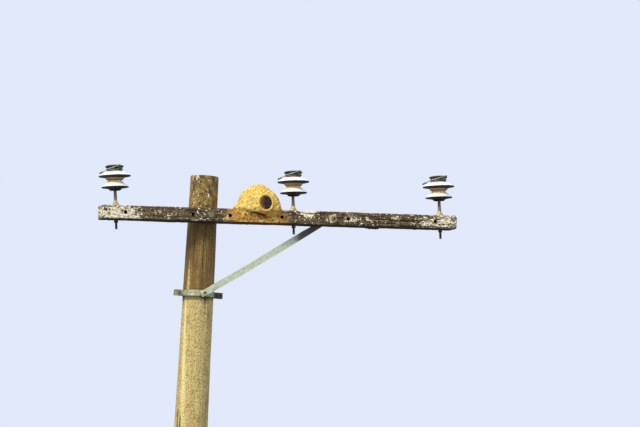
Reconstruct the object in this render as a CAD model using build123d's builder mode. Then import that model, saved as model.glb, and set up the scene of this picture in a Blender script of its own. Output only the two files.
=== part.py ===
# Wooden utility pole with a single crossarm, three pin insulators and a mud nest
import os
from math import atan2, cos, degrees, radians, sin, sqrt, tan

from build123d import *

os.makedirs("parts", exist_ok=True)

# All lengths are millimetres and all angles degrees. The origin is the centre of
# the pole's flat face at ground level, +Z is up, +X runs along the crossarm to
# its long side and -Y is the side of the pole that carries the crossarm.

# Round pole, which leans to +X in the plane of the crossarm
pole_height = 9300.0
pole_lean = 3.16
pole_foot_radius = 160.0
pole_top_radius = 90.0
pole_top_chamfer = 3.0

# Taper of the pole: distance below its top and radius there
pole_stations = (
    (6714.0, 143.0),
    (3914.0, 124.0),
    (1614.0, 107.2),
    (754.0, 99.4),
    (334.0, 94.0),
)

# Crossarm, bolted into a shallow flat cut in the pole
arm_length = 2400.0
arm_height = 90.0
arm_depth = 112.5
arm_below_top = 258.0
arm_reach = 475.0
arm_edge_chamfer = 6.0
arm_worn_radius = 16.0
gain_depth = 10.0
gain_clearance = 1.0
rear_seat_depth = 4.0

# Holes in the crossarm, from its ends or along it from its middle
end_pin_margin = 100.0
end_hole_margin = 150.0
middle_pin_position = 95.0
inner_hole_positions = (-600.0, -350.0, 0.0, 450.0)
brace_hole_position = 345.0
spare_hole_radius = 8.5
pin_leans = {"left": 2.0, "middle": 1.2, "right": 2.2}

# Bolts, nuts and washers
bolt_radius = 8.0
bolt_play = 1.0
bolt_head_side = 24.0
bolt_head_height = 10.0
nut_side = 24.0
nut_height = 13.0
washer_side = 50.0
washer_thickness = 4.0
small_washer_side = 38.0
small_washer_thickness = 3.0
thread_end = 14.0
seat_gap = 0.3

# Insulator pin
pin_head_radius = 16.5
pin_head_bottom = 120.0
pin_neck_radius = 8.5
pin_root_radius = 12.8
pin_flange_radius = 23.0
pin_flange_height = 5.0
pin_cone_height = 17.0
pin_tail_length = 60.0
pin_nut_height = 16.0

# Two-shed porcelain insulator, heights from the top of the crossarm
skirt_bottom = 102.0
skirt_bottom_radius = 35.0
lower_rim_height = 124.0
lower_rim_radius = 86.5
lower_neck_radius = 45.5
upper_skirt_bottom = 162.0
upper_skirt_radius = 60.8
upper_rim_height = 190.0
upper_rim_radius = 101.0
neck_low = 225.0
neck_high = 240.0
neck_radius = 49.4
cap_height = 251.0
cap_radius = 60.0
head_top = 262.0
cavity_radius = 38.0
cavity_top = 236.0
socket_radius = 17.0
socket_top = 200.0

# Tie wire left on each insulator neck; its tails run square to the crossarm
tie_radius = 2.6
tie_pitch = 5.0
tie_near_reach = 300.0
tie_far_reach = 150.0
tie_tail_slope = 0.025

# Two-half clamp round the pole, square to the leaning pole
clamp_below_arm = 495.8
clamp_width = 38.0
clamp_thickness = 5.0
clamp_ear_reach = 161.0
clamp_ear_gap = 18.0
clamp_bolt_reach = 136.0
clamp_bolt_radius = 7.0
clamp_nut_side = 22.0
clamp_nut_height = 11.0
clamp_boss_width = 52.0
clamp_boss_depth = 9.0
clamp_head_radius = 16.0
clamp_head_height = 5.0

# Angle iron brace
brace_leg = 38.0
brace_thickness = 4.8
brace_end = 19.0
brace_lower_flat = 56.0
brace_upper_flat = 126.0
brace_taper = 40.0
brace_washer_turn = 15.0

# Mud nest on the crossarm: height, middle along the arm, half width, half depth
nest_sections = (
    (-46.0, -128.0, 95.0, 72.0),
    (-18.0, -140.0, 136.0, 92.0),
    (9.0, -156.0, 156.0, 103.0),
    (46.0, -146.0, 136.0, 105.0),
    (92.0, -145.0, 115.0, 94.0),
    (122.0, -147.0, 88.0, 73.0),
    (141.0, -143.0, 58.0, 50.0),
    (155.0, -138.0, 31.0, 27.0),
    (163.0, -137.0, 12.0, 11.0),
)
nest_wall = 26.0
nest_floor = 16.0
nest_hollow_sections = (
    (nest_floor, -146.0, 130.0, 100.0),
    (50.0, -146.0, 136.0, 105.0),
    (92.0, -145.0, 115.0, 94.0),
    (116.0, -146.0, 91.0, 75.0),
    (130.0, -145.0, 66.0, 57.0),
)
nest_entrance_position = -126.0
nest_entrance_height = 41.0
nest_entrance_width = 83.0
nest_entrance_rise = 91.0
nest_entrance_start = 58.0

# Wall that turns in behind the entrance, from the entrance's left edge and the nest's middle
nest_baffle_thickness = 14.0
nest_baffle_height = 92.0
nest_baffle_points = (
    (-8.0, -98.0),
    (-6.0, -66.0),
    (6.0, -44.0),
    (24.0, -22.0),
    (50.0, -4.0),
)

# Positions that follow from the sizes above
lean = radians(pole_lean)
along_pole = Vector(sin(lean), 0, cos(lean))
across_pole = Vector(cos(lean), 0, -sin(lean))
pole_length = pole_height / cos(lean)
pole_axis = Axis((0, 0, 0), along_pole)
pole_taper = [
    (0.0, pole_foot_radius),
    *((pole_length - below_top, radius) for below_top, radius in pole_stations),
    (pole_length, pole_top_radius),
]


def pole_radius(distance):
    """Radius of the pole at a distance up its leaning axis."""
    for (low, low_radius), (high, high_radius) in zip(pole_taper, pole_taper[1:]):
        if distance <= high:
            share = (distance - low) / (high - low)
            return low_radius + share * (high_radius - low_radius)
    return pole_top_radius


arm_middle_height = pole_height - arm_below_top
arm_top = arm_middle_height + arm_height / 2
arm_bottom = arm_middle_height - arm_height / 2
arm_pole_x = arm_middle_height * tan(lean)
arm_middle_x = arm_pole_x + arm_reach
arm_pole_radius = pole_radius(arm_middle_height / cos(lean))
arm_rear_y = gain_depth - arm_pole_radius
arm_front_y = arm_rear_y - arm_depth
arm_middle_y = (arm_front_y + arm_rear_y) / 2
rear_seat_y = arm_pole_radius - rear_seat_depth
hole_radius = bolt_radius + bolt_play
pin_positions = {
    "left": end_pin_margin - arm_length / 2,
    "middle": middle_pin_position,
    "right": arm_length / 2 - end_pin_margin,
}
spare_hole_positions = (
    end_hole_margin - arm_length / 2,
    *inner_hole_positions,
    arm_length / 2 - end_hole_margin,
)

clamp_position = arm_middle_height / cos(lean) - clamp_below_arm
clamp_middle = along_pole * clamp_position
clamp_inner = pole_radius(clamp_position - clamp_width / 2) + 0.05
clamp_outer = clamp_inner + clamp_thickness
clamp_boss_y = -(clamp_outer + clamp_boss_depth)
clamp_ear_y = clamp_ear_gap / 2 + clamp_thickness

brace_top_x = arm_middle_x + brace_hole_position
brace_rise = arm_middle_height - clamp_middle.Z
brace_run = brace_top_x - clamp_middle.X
brace_angle = degrees(atan2(brace_rise, brace_run))
brace_along = Vector(cos(radians(brace_angle)), 0, sin(radians(brace_angle)))
brace_up = Vector(-sin(radians(brace_angle)), 0, cos(radians(brace_angle)))


def facing_front(x, y, z, turn=0.0):
    """Plane that looks to -Y, with its X axis turned up from +X by an angle."""
    angle = radians(turn)
    return Plane(origin=(x, y, z), x_dir=(cos(angle), 0, sin(angle)), z_dir=(0, -1, 0))


def facing_rear(x, y, z, turn=0.0):
    """Plane that looks to +Y, with its X axis turned up from +X by an angle."""
    angle = radians(turn)
    return Plane(origin=(x, y, z), x_dir=(cos(angle), 0, sin(angle)), z_dir=(0, 1, 0))


def pin_plane(side):
    """Leaning plane of an insulator pin, on the top of the crossarm."""
    angle = radians(pin_leans[side])
    return Plane(
        origin=(arm_middle_x + pin_positions[side], arm_middle_y, arm_top),
        x_dir=(cos(angle), 0, sin(angle)),
        z_dir=(-sin(angle), 0, cos(angle)),
    )


def pin_section(side):
    """Plane through the axis of a pin, radius along X and height along Y."""
    frame = pin_plane(side)
    return Plane(origin=frame.origin, x_dir=frame.x_dir, z_dir=(0, -1, 0))


def pin_axis(side):
    """Leaning axis of an insulator pin."""
    frame = pin_plane(side)
    return Axis(frame.origin, frame.z_dir)


def pin_x(side, height):
    """Position along the crossarm where a leaning pin crosses a height."""
    return arm_middle_x + pin_positions[side] - (height - arm_top) * tan(radians(pin_leans[side]))


# Round pole with its flat ground face, the cut for the crossarm and the bolt hole
with BuildPart() as pole:
    with BuildSketch(Plane(origin=(0, 0, 0), x_dir=across_pole, z_dir=(0, -1, 0))):
        with BuildLine():
            Polyline(
                (0, -40),
                (pole_foot_radius, -40),
                *((radius, distance) for distance, radius in pole_taper[:-1]),
                (pole_top_radius, pole_length - pole_top_chamfer),
                (pole_top_radius - pole_top_chamfer, pole_length),
                (0, pole_length),
                close=True,
            )
        make_face()
    revolve(axis=pole_axis)
    split(bisect_by=Plane.XY, keep=Keep.TOP)
    with Locations((arm_pole_x, arm_rear_y, arm_middle_height)):
        Box(
            400,
            200,
            arm_height + 2 * gain_clearance,
            align=(Align.CENTER, Align.MAX, Align.CENTER),
            mode=Mode.SUBTRACT,
        )
    with Locations((arm_pole_x, rear_seat_y, arm_middle_height)):
        Box(
            washer_side + 4,
            60,
            washer_side + 4,
            align=(Align.CENTER, Align.MIN, Align.CENTER),
            mode=Mode.SUBTRACT,
        )
    with Locations(facing_front(arm_pole_x, arm_front_y, arm_middle_height)):
        Hole(hole_radius)
pole.part.label = "pole"
export_step(pole.part, "parts/pole.step")

# Crossarm with its worn end and drilled holes
with BuildPart() as crossarm:
    with Locations((arm_middle_x, arm_middle_y, arm_middle_height)):
        Box(arm_length, arm_depth, arm_height)
    worn_face = crossarm.faces().sort_by(Axis.X)[-1]
    fillet(worn_face.edges().filter_by(Axis.Y), radius=arm_worn_radius)
    top_edges = crossarm.edges().filter_by(Axis.X).group_by(Axis.Z)[-1]
    chamfer(top_edges, length=arm_edge_chamfer)
    for side in pin_positions:
        with Locations(pin_plane(side)):
            Cylinder(hole_radius, 4 * arm_height, mode=Mode.SUBTRACT)
    for position in spare_hole_positions:
        with Locations(facing_front(arm_middle_x + position, arm_front_y, arm_middle_height)):
            Hole(spare_hole_radius, depth=2 * arm_depth)
    for bolt_x in (arm_pole_x, brace_top_x):
        with Locations(facing_front(bolt_x, arm_front_y, arm_middle_height)):
            Hole(hole_radius, depth=2 * arm_depth)
crossarm.part.label = "crossarm"
export_step(crossarm.part, "parts/crossarm.step")


def square_washer(frame, side, thickness, hole):
    """Square washer that stands on a plane."""
    with BuildPart() as washer:
        with BuildSketch(frame):
            RectangleRounded(side, side, 2.0)
            Circle(hole, mode=Mode.SUBTRACT)
        extrude(amount=thickness)
    return washer.part


def square_nut(frame, side, height, hole):
    """Square nut that stands on a plane, with the edges of its far face bevelled."""
    with BuildPart() as nut:
        with BuildSketch(frame):
            Rectangle(side, side)
            Circle(hole, mode=Mode.SUBTRACT)
        extrude(amount=height)
        far_face = nut.faces().sort_by(Axis(frame.origin, frame.z_dir))[-1]
        chamfer(far_face.outer_wire().edges(), length=1.5)
    return nut.part


def square_bolt(frame, side, height, radius, length):
    """Bolt whose square head stands on a plane and whose shank goes through it."""
    with BuildPart() as bolt:
        with BuildSketch(frame):
            Rectangle(side, side)
        extrude(amount=height)
        head_face = bolt.faces().sort_by(Axis(frame.origin, frame.z_dir))[-1]
        chamfer(head_face.edges(), length=1.5)
        with BuildSketch(frame):
            Circle(radius)
        extrude(amount=-length)
        end_face = bolt.faces().sort_by(Axis(frame.origin, frame.z_dir))[0]
        chamfer(end_face.edges(), length=1.5)
    return bolt.part


# Bolt that holds the crossarm on the pole, with a washer at each end and a nut
main_front = facing_front(arm_pole_x, arm_front_y, arm_middle_height, 45)
main_bolt_front_washer = square_washer(main_front, washer_side, washer_thickness, hole_radius)
main_bolt_front_washer.label = "main_bolt_front_washer"
export_step(main_bolt_front_washer, "parts/main_bolt_front_washer.step")

main_head = facing_front(arm_pole_x, arm_front_y - washer_thickness, arm_middle_height, 10)
main_nut_y = rear_seat_y + washer_thickness
main_bolt_length = main_nut_y + nut_height + thread_end - (arm_front_y - washer_thickness)
main_bolt = square_bolt(main_head, bolt_head_side, bolt_head_height, bolt_radius, main_bolt_length)
main_bolt.label = "main_bolt"
export_step(main_bolt, "parts/main_bolt.step")

main_rear = facing_rear(arm_pole_x, rear_seat_y, arm_middle_height)
main_bolt_rear_washer = square_washer(main_rear, washer_side, washer_thickness, hole_radius)
main_bolt_rear_washer.label = "main_bolt_rear_washer"
export_step(main_bolt_rear_washer, "parts/main_bolt_rear_washer.step")

main_nut_plane = facing_rear(arm_pole_x, main_nut_y, arm_middle_height, 20)
main_bolt_nut = square_nut(main_nut_plane, nut_side, nut_height, bolt_radius + seat_gap)
main_bolt_nut.label = "main_bolt_nut"
export_step(main_bolt_nut, "parts/main_bolt_nut.step")

# Insulator pins, each with a washer and a nut under the crossarm
for side in pin_positions:
    with BuildPart() as pin:
        with BuildSketch(pin_section(side)):
            with BuildLine():
                Polyline(
                    (0, -3),
                    (pin_flange_radius, -3),
                    (pin_flange_radius, pin_flange_height),
                    (pin_root_radius + 2, pin_cone_height),
                    (pin_root_radius, pin_cone_height + 8),
                    (pin_neck_radius, skirt_bottom - 4),
                    (pin_neck_radius, pin_head_bottom),
                    (pin_head_radius, pin_head_bottom + 6),
                    (pin_head_radius, socket_top - seat_gap - 3),
                    (pin_head_radius - 3, socket_top - seat_gap),
                    (0, socket_top - seat_gap),
                    close=True,
                )
            make_face()
        revolve(axis=pin_axis(side))
        split(bisect_by=Plane.XY.offset(arm_top), keep=Keep.TOP)
        with BuildSketch(pin_plane(side).offset(2)):
            Circle(bolt_radius)
        extrude(amount=-(arm_height + pin_tail_length + 2))
        tail_face = pin.faces().sort_by(Axis.Z)[0]
        chamfer(tail_face.edges(), length=1.5)
    pin.part.label = f"pin_{side}"
    export_step(pin.part, f"parts/pin_{side}.step")

    washer_plane = Plane(
        origin=(pin_x(side, arm_bottom), arm_middle_y, arm_bottom),
        x_dir=(1, 0, 0),
        z_dir=(0, 0, -1),
    )
    pin_washer = square_washer(
        washer_plane, small_washer_side, small_washer_thickness, hole_radius
    )
    pin_washer.label = f"pin_washer_{side}"
    export_step(pin_washer, f"parts/pin_washer_{side}.step")

    nut_top = arm_bottom - small_washer_thickness
    with BuildPart() as pin_nut:
        nut_x = pin_x(side, nut_top - pin_nut_height / 2)
        nut_origin = (nut_x, arm_middle_y, nut_top)
        with BuildSketch(Plane(origin=nut_origin, x_dir=(1, 0, 0), z_dir=(0, 0, -1))):
            RegularPolygon(nut_side / 2, 6, major_radius=False)
            Circle(bolt_radius + 2 * seat_gap, mode=Mode.SUBTRACT)
        extrude(amount=pin_nut_height)
        low_face = pin_nut.faces().sort_by(Axis.Z)[0]
        chamfer(low_face.outer_wire().edges(), length=1.8)
    pin_nut.part.label = f"pin_nut_{side}"
    export_step(pin_nut.part, f"parts/pin_nut_{side}.step")

# Insulators: a lower shell screwed on the pin and an upper shell cemented over it
for side in pin_positions:
    with BuildPart() as insulator_lower:
        with BuildSketch(pin_section(side)):
            with BuildLine():
                Polyline(
                    (0, socket_top),
                    (0, cavity_top - seat_gap),
                    (cavity_radius - 6, cavity_top - seat_gap),
                    (cavity_radius - seat_gap, cavity_top - 7),
                    (cavity_radius - seat_gap, upper_skirt_bottom + 4),
                )
                Spline(
                    (cavity_radius - seat_gap, upper_skirt_bottom + 4),
                    (lower_neck_radius, upper_skirt_bottom - 3.5),
                    (64, upper_skirt_bottom - 10),
                    (78, lower_rim_height + 15),
                    (lower_rim_radius, lower_rim_height),
                    tangents=((0.3, -1), (0.1, -1)),
                )
                Polyline(
                    (lower_rim_radius, lower_rim_height),
                    (lower_rim_radius - 1.5, lower_rim_height - 2.5),
                    (lower_rim_radius - 9, lower_rim_height - 1),
                    (lower_rim_radius - 20, lower_rim_height + 5),
                    (skirt_bottom_radius + 14, lower_rim_height + 4),
                    (skirt_bottom_radius + 9, lower_rim_height - 8),
                    (skirt_bottom_radius, skirt_bottom + 1.5),
                    (skirt_bottom_radius - 3, skirt_bottom),
                    (skirt_bottom_radius - 6, skirt_bottom + 1.5),
                    (socket_radius + 3, skirt_bottom + 16),
                    (socket_radius, skirt_bottom + 20),
                    (socket_radius, socket_top),
                    (0, socket_top),
                )
            make_face()
        revolve(axis=pin_axis(side))
    insulator_lower.part.label = f"insulator_lower_{side}"
    export_step(insulator_lower.part, f"parts/insulator_lower_{side}.step")

    with BuildPart() as insulator_upper:
        with BuildSketch(pin_section(side)):
            with BuildLine():
                Polyline(
                    (cavity_radius, upper_skirt_bottom + 6),
                    (cavity_radius, cavity_top - 7),
                    (cavity_radius - 6, cavity_top),
                    (0, cavity_top),
                    (0, head_top),
                )
                Spline(
                    (0, head_top),
                    (34, head_top - 1.5),
                    (cap_radius - 6, cap_height + 5),
                    (cap_radius, cap_height),
                    tangents=((1, 0), (0.2, -1)),
                )
                Polyline(
                    (cap_radius, cap_height),
                    (cap_radius - 2, cap_height - 4),
                    (neck_radius + 1, neck_high),
                    (neck_radius, neck_high - 3),
                    (neck_radius, neck_low),
                )
                Spline(
                    (neck_radius, neck_low),
                    (neck_radius + 8, neck_low - 4),
                    (84, neck_low - 14),
                    (upper_rim_radius, upper_rim_height + 2),
                    tangents=((0.6, -1), (0.1, -1)),
                )
                Polyline(
                    (upper_rim_radius, upper_rim_height + 2),
                    (upper_rim_radius - 0.5, upper_rim_height - 1),
                    (upper_rim_radius - 3, upper_rim_height - 2),
                    (upper_rim_radius - 14, upper_rim_height + 3),
                    (upper_skirt_radius + 14, upper_rim_height + 9),
                    (upper_skirt_radius + 3, upper_rim_height + 4),
                    (upper_skirt_radius, upper_rim_height - 9),
                    (lower_neck_radius + 5, upper_skirt_bottom + 2),
                    (lower_neck_radius + 1, upper_skirt_bottom),
                    (lower_neck_radius - 2, upper_skirt_bottom + 2),
                    (cavity_radius + 1, upper_skirt_bottom + 6),
                    (cavity_radius, upper_skirt_bottom + 6),
                )
            make_face()
        revolve(axis=pin_axis(side))
    insulator_upper.part.label = f"insulator_upper_{side}"
    export_step(insulator_upper.part, f"parts/insulator_upper_{side}.step")

    # Tie wire: two turns that lie in the neck and a tail to the front and the rear
    with BuildPart() as tie_wire:
        ring_radius = neck_radius + tie_radius + 0.1
        ring_height = (neck_low + neck_high) / 2
        with BuildSketch(pin_section(side)):
            with Locations((ring_radius, ring_height)):
                SlotOverall(2 * tie_radius + tie_pitch, 2 * tie_radius, rotation=90)
        revolve(axis=pin_axis(side))
        for reach in (-tie_near_reach, tie_far_reach):
            start = pin_plane(side).from_local_coords(Vector(-ring_radius, 0, ring_height))
            end_height = ring_height - tie_tail_slope * reach
            tail_end = pin_plane(side).from_local_coords(Vector(-ring_radius - 2, reach, end_height))
            with BuildSketch(Plane(origin=start, z_dir=tail_end - start)):
                Circle(tie_radius - 0.4)
            extrude(amount=(tail_end - start).length)
    tie_wire.part.label = f"tie_wire_{side}"
    export_step(tie_wire.part, f"parts/tie_wire_{side}.step")

# Two halves of the clamp round the pole; the front half has a boss for the brace
clamp_base = Plane(
    origin=clamp_middle - along_pole * (clamp_width / 2),
    x_dir=across_pole,
    z_dir=along_pole,
)
clamp_front_plane = Plane(origin=clamp_middle, x_dir=across_pole, z_dir=(0, -1, 0))
with BuildPart() as clamp_front:
    with BuildSketch(clamp_base):
        Circle(clamp_outer)
        with Locations((0, -clamp_ear_y)):
            Rectangle(2 * clamp_ear_reach, clamp_thickness, align=(Align.CENTER, Align.MIN))
        with Locations((0, clamp_boss_y)):
            Rectangle(
                clamp_boss_width,
                clamp_boss_depth + clamp_thickness,
                align=(Align.CENTER, Align.MIN),
            )
        Circle(clamp_inner, mode=Mode.SUBTRACT)
        with Locations((0, -clamp_ear_gap / 2)):
            Rectangle(
                3 * clamp_ear_reach,
                2 * clamp_ear_reach,
                align=(Align.CENTER, Align.MIN),
                mode=Mode.SUBTRACT,
            )
    extrude(amount=clamp_width)
    with Locations(clamp_front_plane):
        with Locations((-clamp_bolt_reach, 0), (clamp_bolt_reach, 0)):
            Hole(clamp_bolt_radius + bolt_play, depth=40)
    with Locations(clamp_front_plane.offset(clamp_inner)):
        Hole(hole_radius, depth=60)
        Hole(clamp_head_radius + bolt_play, depth=clamp_head_height + 1)
clamp_front.part.label = "clamp_front"
export_step(clamp_front.part, "parts/clamp_front.step")

with BuildPart() as clamp_rear:
    with BuildSketch(clamp_base):
        Circle(clamp_outer)
        with Locations((0, clamp_ear_y)):
            Rectangle(2 * clamp_ear_reach, clamp_thickness, align=(Align.CENTER, Align.MAX))
        Circle(clamp_inner, mode=Mode.SUBTRACT)
        with Locations((0, clamp_ear_gap / 2)):
            Rectangle(
                3 * clamp_ear_reach,
                2 * clamp_ear_reach,
                align=(Align.CENTER, Align.MAX),
                mode=Mode.SUBTRACT,
            )
    extrude(amount=clamp_width)
    with Locations(clamp_front_plane):
        with Locations((-clamp_bolt_reach, 0), (clamp_bolt_reach, 0)):
            Hole(clamp_bolt_radius + bolt_play, depth=40)
clamp_rear.part.label = "clamp_rear"
export_step(clamp_rear.part, "parts/clamp_rear.step")

# Clamp bolts from the rear ears to the front ears, with their nuts in front
clamp_bolt_length = 2 * clamp_ear_y + clamp_nut_height + thread_end
for side, hand in (("left", -1), ("right", 1)):
    ear_middle = clamp_middle + across_pole * (hand * clamp_bolt_reach)
    head_plane = facing_rear(ear_middle.X, clamp_ear_y, ear_middle.Z, -pole_lean)
    clamp_bolt = square_bolt(
        head_plane, clamp_nut_side, clamp_nut_height, clamp_bolt_radius, clamp_bolt_length
    )
    clamp_bolt.label = f"clamp_bolt_{side}"
    export_step(clamp_bolt, f"parts/clamp_bolt_{side}.step")

    nut_plane = facing_front(ear_middle.X, -clamp_ear_y, ear_middle.Z, 25)
    clamp_nut = square_nut(
        nut_plane, clamp_nut_side, clamp_nut_height, clamp_bolt_radius + seat_gap
    )
    clamp_nut.label = f"clamp_nut_{side}"
    export_step(clamp_nut, f"parts/clamp_nut_{side}.step")

# Brace: an angle with a flat bolted end on the clamp boss and one on the crossarm
lower_flat = facing_front(clamp_middle.X, clamp_boss_y, clamp_middle.Z, brace_angle)
upper_flat = facing_front(
    brace_top_x, arm_rear_y + brace_thickness, arm_middle_height, brace_angle
)
lower_point = lower_flat.origin + Vector(0, -brace_thickness / 2, 0)
upper_point = upper_flat.origin + Vector(0, -brace_thickness / 2, 0)
run_start = lower_point + brace_along * brace_lower_flat
run_end = upper_point - brace_along * brace_upper_flat
run_length = (run_end - run_start).length
run_direction = (run_end - run_start).normalized()
with BuildPart() as brace:
    with BuildSketch(Plane(origin=run_start, x_dir=brace_up, z_dir=run_direction)):
        with BuildLine():
            half_leg = brace_leg / 2
            half_plate = brace_thickness / 2
            Polyline(
                (-half_leg, half_plate),
                (half_leg, half_plate),
                (half_leg, half_plate - brace_leg),
                (half_leg - brace_thickness, half_plate - brace_leg),
                (half_leg - brace_thickness, -half_plate),
                (-half_leg, -half_plate),
                close=True,
            )
        make_face()
    extrude(amount=run_length)
    for foot, turn in ((run_start, run_direction), (run_end, run_direction * -1)):
        backward = 1 if turn == run_direction else -1
        with BuildSketch(Plane(origin=foot, x_dir=turn, z_dir=brace_up * backward)):
            with BuildLine():
                Polyline(
                    (-1, half_plate),
                    (brace_taper, brace_leg + 4),
                    (-1, brace_leg + 4),
                    close=True,
                )
            make_face()
        extrude(amount=brace_leg, both=True, mode=Mode.SUBTRACT)
    for flat, hand, reach in (
        (lower_flat, 1, brace_lower_flat + 2),
        (upper_flat, -1, brace_upper_flat + 2),
    ):
        with BuildSketch(flat):
            with Locations((hand * (reach - brace_end) / 2, 0)):
                Rectangle(reach + brace_end, brace_leg)
            Circle(hole_radius, mode=Mode.SUBTRACT)
        extrude(amount=brace_thickness)
brace.part.label = "brace"
export_step(brace.part, "parts/brace.step")

# Bolt of the brace on the clamp, its round head inside the boss
clamp_head_y = -(clamp_inner + 2 * seat_gap)
brace_nut_y = clamp_boss_y - brace_thickness
with BuildPart() as brace_clamp_bolt:
    with BuildSketch(facing_front(clamp_middle.X, clamp_head_y, clamp_middle.Z)):
        Circle(clamp_head_radius)
    extrude(amount=clamp_head_height - seat_gap)
    with BuildSketch(facing_front(clamp_middle.X, clamp_head_y, clamp_middle.Z)):
        Circle(bolt_radius)
    extrude(amount=clamp_head_y - brace_nut_y + nut_height + thread_end)
    shank_end = brace_clamp_bolt.faces().sort_by(Axis.Y)[0]
    chamfer(shank_end.edges(), length=1.5)
brace_clamp_bolt.part.label = "brace_clamp_bolt"
export_step(brace_clamp_bolt.part, "parts/brace_clamp_bolt.step")

brace_nut_plane = facing_front(clamp_middle.X, brace_nut_y, clamp_middle.Z, brace_angle + 8)
brace_clamp_nut = square_nut(brace_nut_plane, nut_side, nut_height, bolt_radius + seat_gap)
brace_clamp_nut.label = "brace_clamp_nut"
export_step(brace_clamp_nut, "parts/brace_clamp_nut.step")

# Bolt of the brace on the crossarm, with its head behind and its nut in front
brace_head = facing_rear(
    brace_top_x, arm_rear_y + brace_thickness, arm_middle_height, brace_angle
)
brace_bolt_length = (
    brace_thickness + arm_depth + washer_thickness + nut_height + thread_end
)
brace_bolt = square_bolt(
    brace_head, bolt_head_side, bolt_head_height, bolt_radius, brace_bolt_length
)
brace_bolt.label = "brace_bolt"
export_step(brace_bolt, "parts/brace_bolt.step")

brace_front = facing_front(brace_top_x, arm_front_y, arm_middle_height, brace_washer_turn)
brace_bolt_washer = square_washer(brace_front, washer_side, washer_thickness, hole_radius)
brace_bolt_washer.label = "brace_bolt_washer"
export_step(brace_bolt_washer, "parts/brace_bolt_washer.step")

brace_nut_front = facing_front(
    brace_top_x, arm_front_y - washer_thickness, arm_middle_height, 5
)
brace_bolt_nut = square_nut(brace_nut_front, nut_side, nut_height, bolt_radius + seat_gap)
brace_bolt_nut.label = "brace_bolt_nut"
export_step(brace_bolt_nut, "parts/brace_bolt_nut.step")


def nest_plane(height, position):
    """Level plane at a height over the crossarm's top and a position along it."""
    return Plane(origin=(arm_middle_x + position, arm_middle_y, arm_top + height))


# Hollow of the nest, split by the wall that turns in behind the entrance
with BuildPart() as nest_hollow:
    for height, position, half_width, half_depth in nest_hollow_sections:
        with BuildSketch(nest_plane(height, position)):
            Ellipse(half_width - nest_wall, half_depth - nest_wall)
    loft()
    with BuildSketch(nest_plane(nest_floor - 1, nest_entrance_position)):
        with BuildLine():
            wall_path = Polyline(*((x - nest_entrance_width / 2, y) for x, y in nest_baffle_points))
            offset(wall_path, amount=nest_baffle_thickness / 2)
        make_face()
    extrude(amount=nest_baffle_height - nest_floor, mode=Mode.SUBTRACT)

# Mud nest that sits astride the crossarm
with BuildPart() as nest:
    for height, position, half_width, half_depth in nest_sections:
        with BuildSketch(nest_plane(height, position)):
            Ellipse(half_width, half_depth)
    loft()
    with Locations((arm_middle_x, arm_middle_y, arm_top)):
        Box(
            arm_length,
            arm_depth,
            2 * arm_height,
            align=(Align.CENTER, Align.CENTER, Align.MAX),
            mode=Mode.SUBTRACT,
        )
    add(nest_hollow.part, mode=Mode.SUBTRACT)
    entrance_z = arm_top + nest_entrance_height
    entrance_x = arm_middle_x + nest_entrance_position
    with BuildSketch(facing_front(entrance_x, arm_middle_y - nest_entrance_start, entrance_z)):
        Ellipse(nest_entrance_width / 2, nest_entrance_rise / 2)
    extrude(amount=nest_entrance_rise, mode=Mode.SUBTRACT)
nest.part.label = "nest"
export_step(nest.part, "parts/nest.step")
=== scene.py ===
# Weathered wooden utility pole with a crossarm, three pin insulators and a mud nest
from math import cos, pi, radians, sin, tan

import bmesh
import bpy
import numpy as np
from bpy.props import FloatProperty, FloatVectorProperty, IntProperty, PointerProperty
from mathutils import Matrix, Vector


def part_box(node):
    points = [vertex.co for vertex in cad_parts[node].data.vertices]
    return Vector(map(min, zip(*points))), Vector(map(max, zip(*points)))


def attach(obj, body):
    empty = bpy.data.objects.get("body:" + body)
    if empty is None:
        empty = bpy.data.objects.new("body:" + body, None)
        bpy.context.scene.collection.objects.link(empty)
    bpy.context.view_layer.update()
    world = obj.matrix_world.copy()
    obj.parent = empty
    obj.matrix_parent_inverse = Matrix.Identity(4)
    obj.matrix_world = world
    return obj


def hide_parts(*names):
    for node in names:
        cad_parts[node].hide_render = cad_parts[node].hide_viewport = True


bl_info = {
    "name": "Weathered Utility Pole",
    "version": (1, 0, 0),
    "blender": (4, 5, 0),
    "location": "View3D > Sidebar > Utility Pole",
    "description": "Builds a weathered timber pole with its crossarm, insulators and mud nest",
    "category": "Add Mesh",
}

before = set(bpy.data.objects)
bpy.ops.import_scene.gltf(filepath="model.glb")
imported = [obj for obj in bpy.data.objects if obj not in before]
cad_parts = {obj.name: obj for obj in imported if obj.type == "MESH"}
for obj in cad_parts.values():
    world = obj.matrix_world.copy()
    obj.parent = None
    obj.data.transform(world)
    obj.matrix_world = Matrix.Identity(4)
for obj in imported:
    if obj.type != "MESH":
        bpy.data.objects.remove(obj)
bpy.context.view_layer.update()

MM = 0.001
BODY = "root"

# Places of the built nodes, in metres
arm_low, arm_high = (np.array(corner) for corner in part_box("crossarm"))
arm_middle = (arm_low + arm_high) / 2
arm_half = (arm_high - arm_low) / 2
arm_top = np.array([arm_middle[0], arm_middle[1], arm_high[2]])
clamp_low, clamp_high = (np.array(corner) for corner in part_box("clamp_rear"))
clamp_height = (clamp_low[2] + clamp_high[2]) / 2

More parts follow.
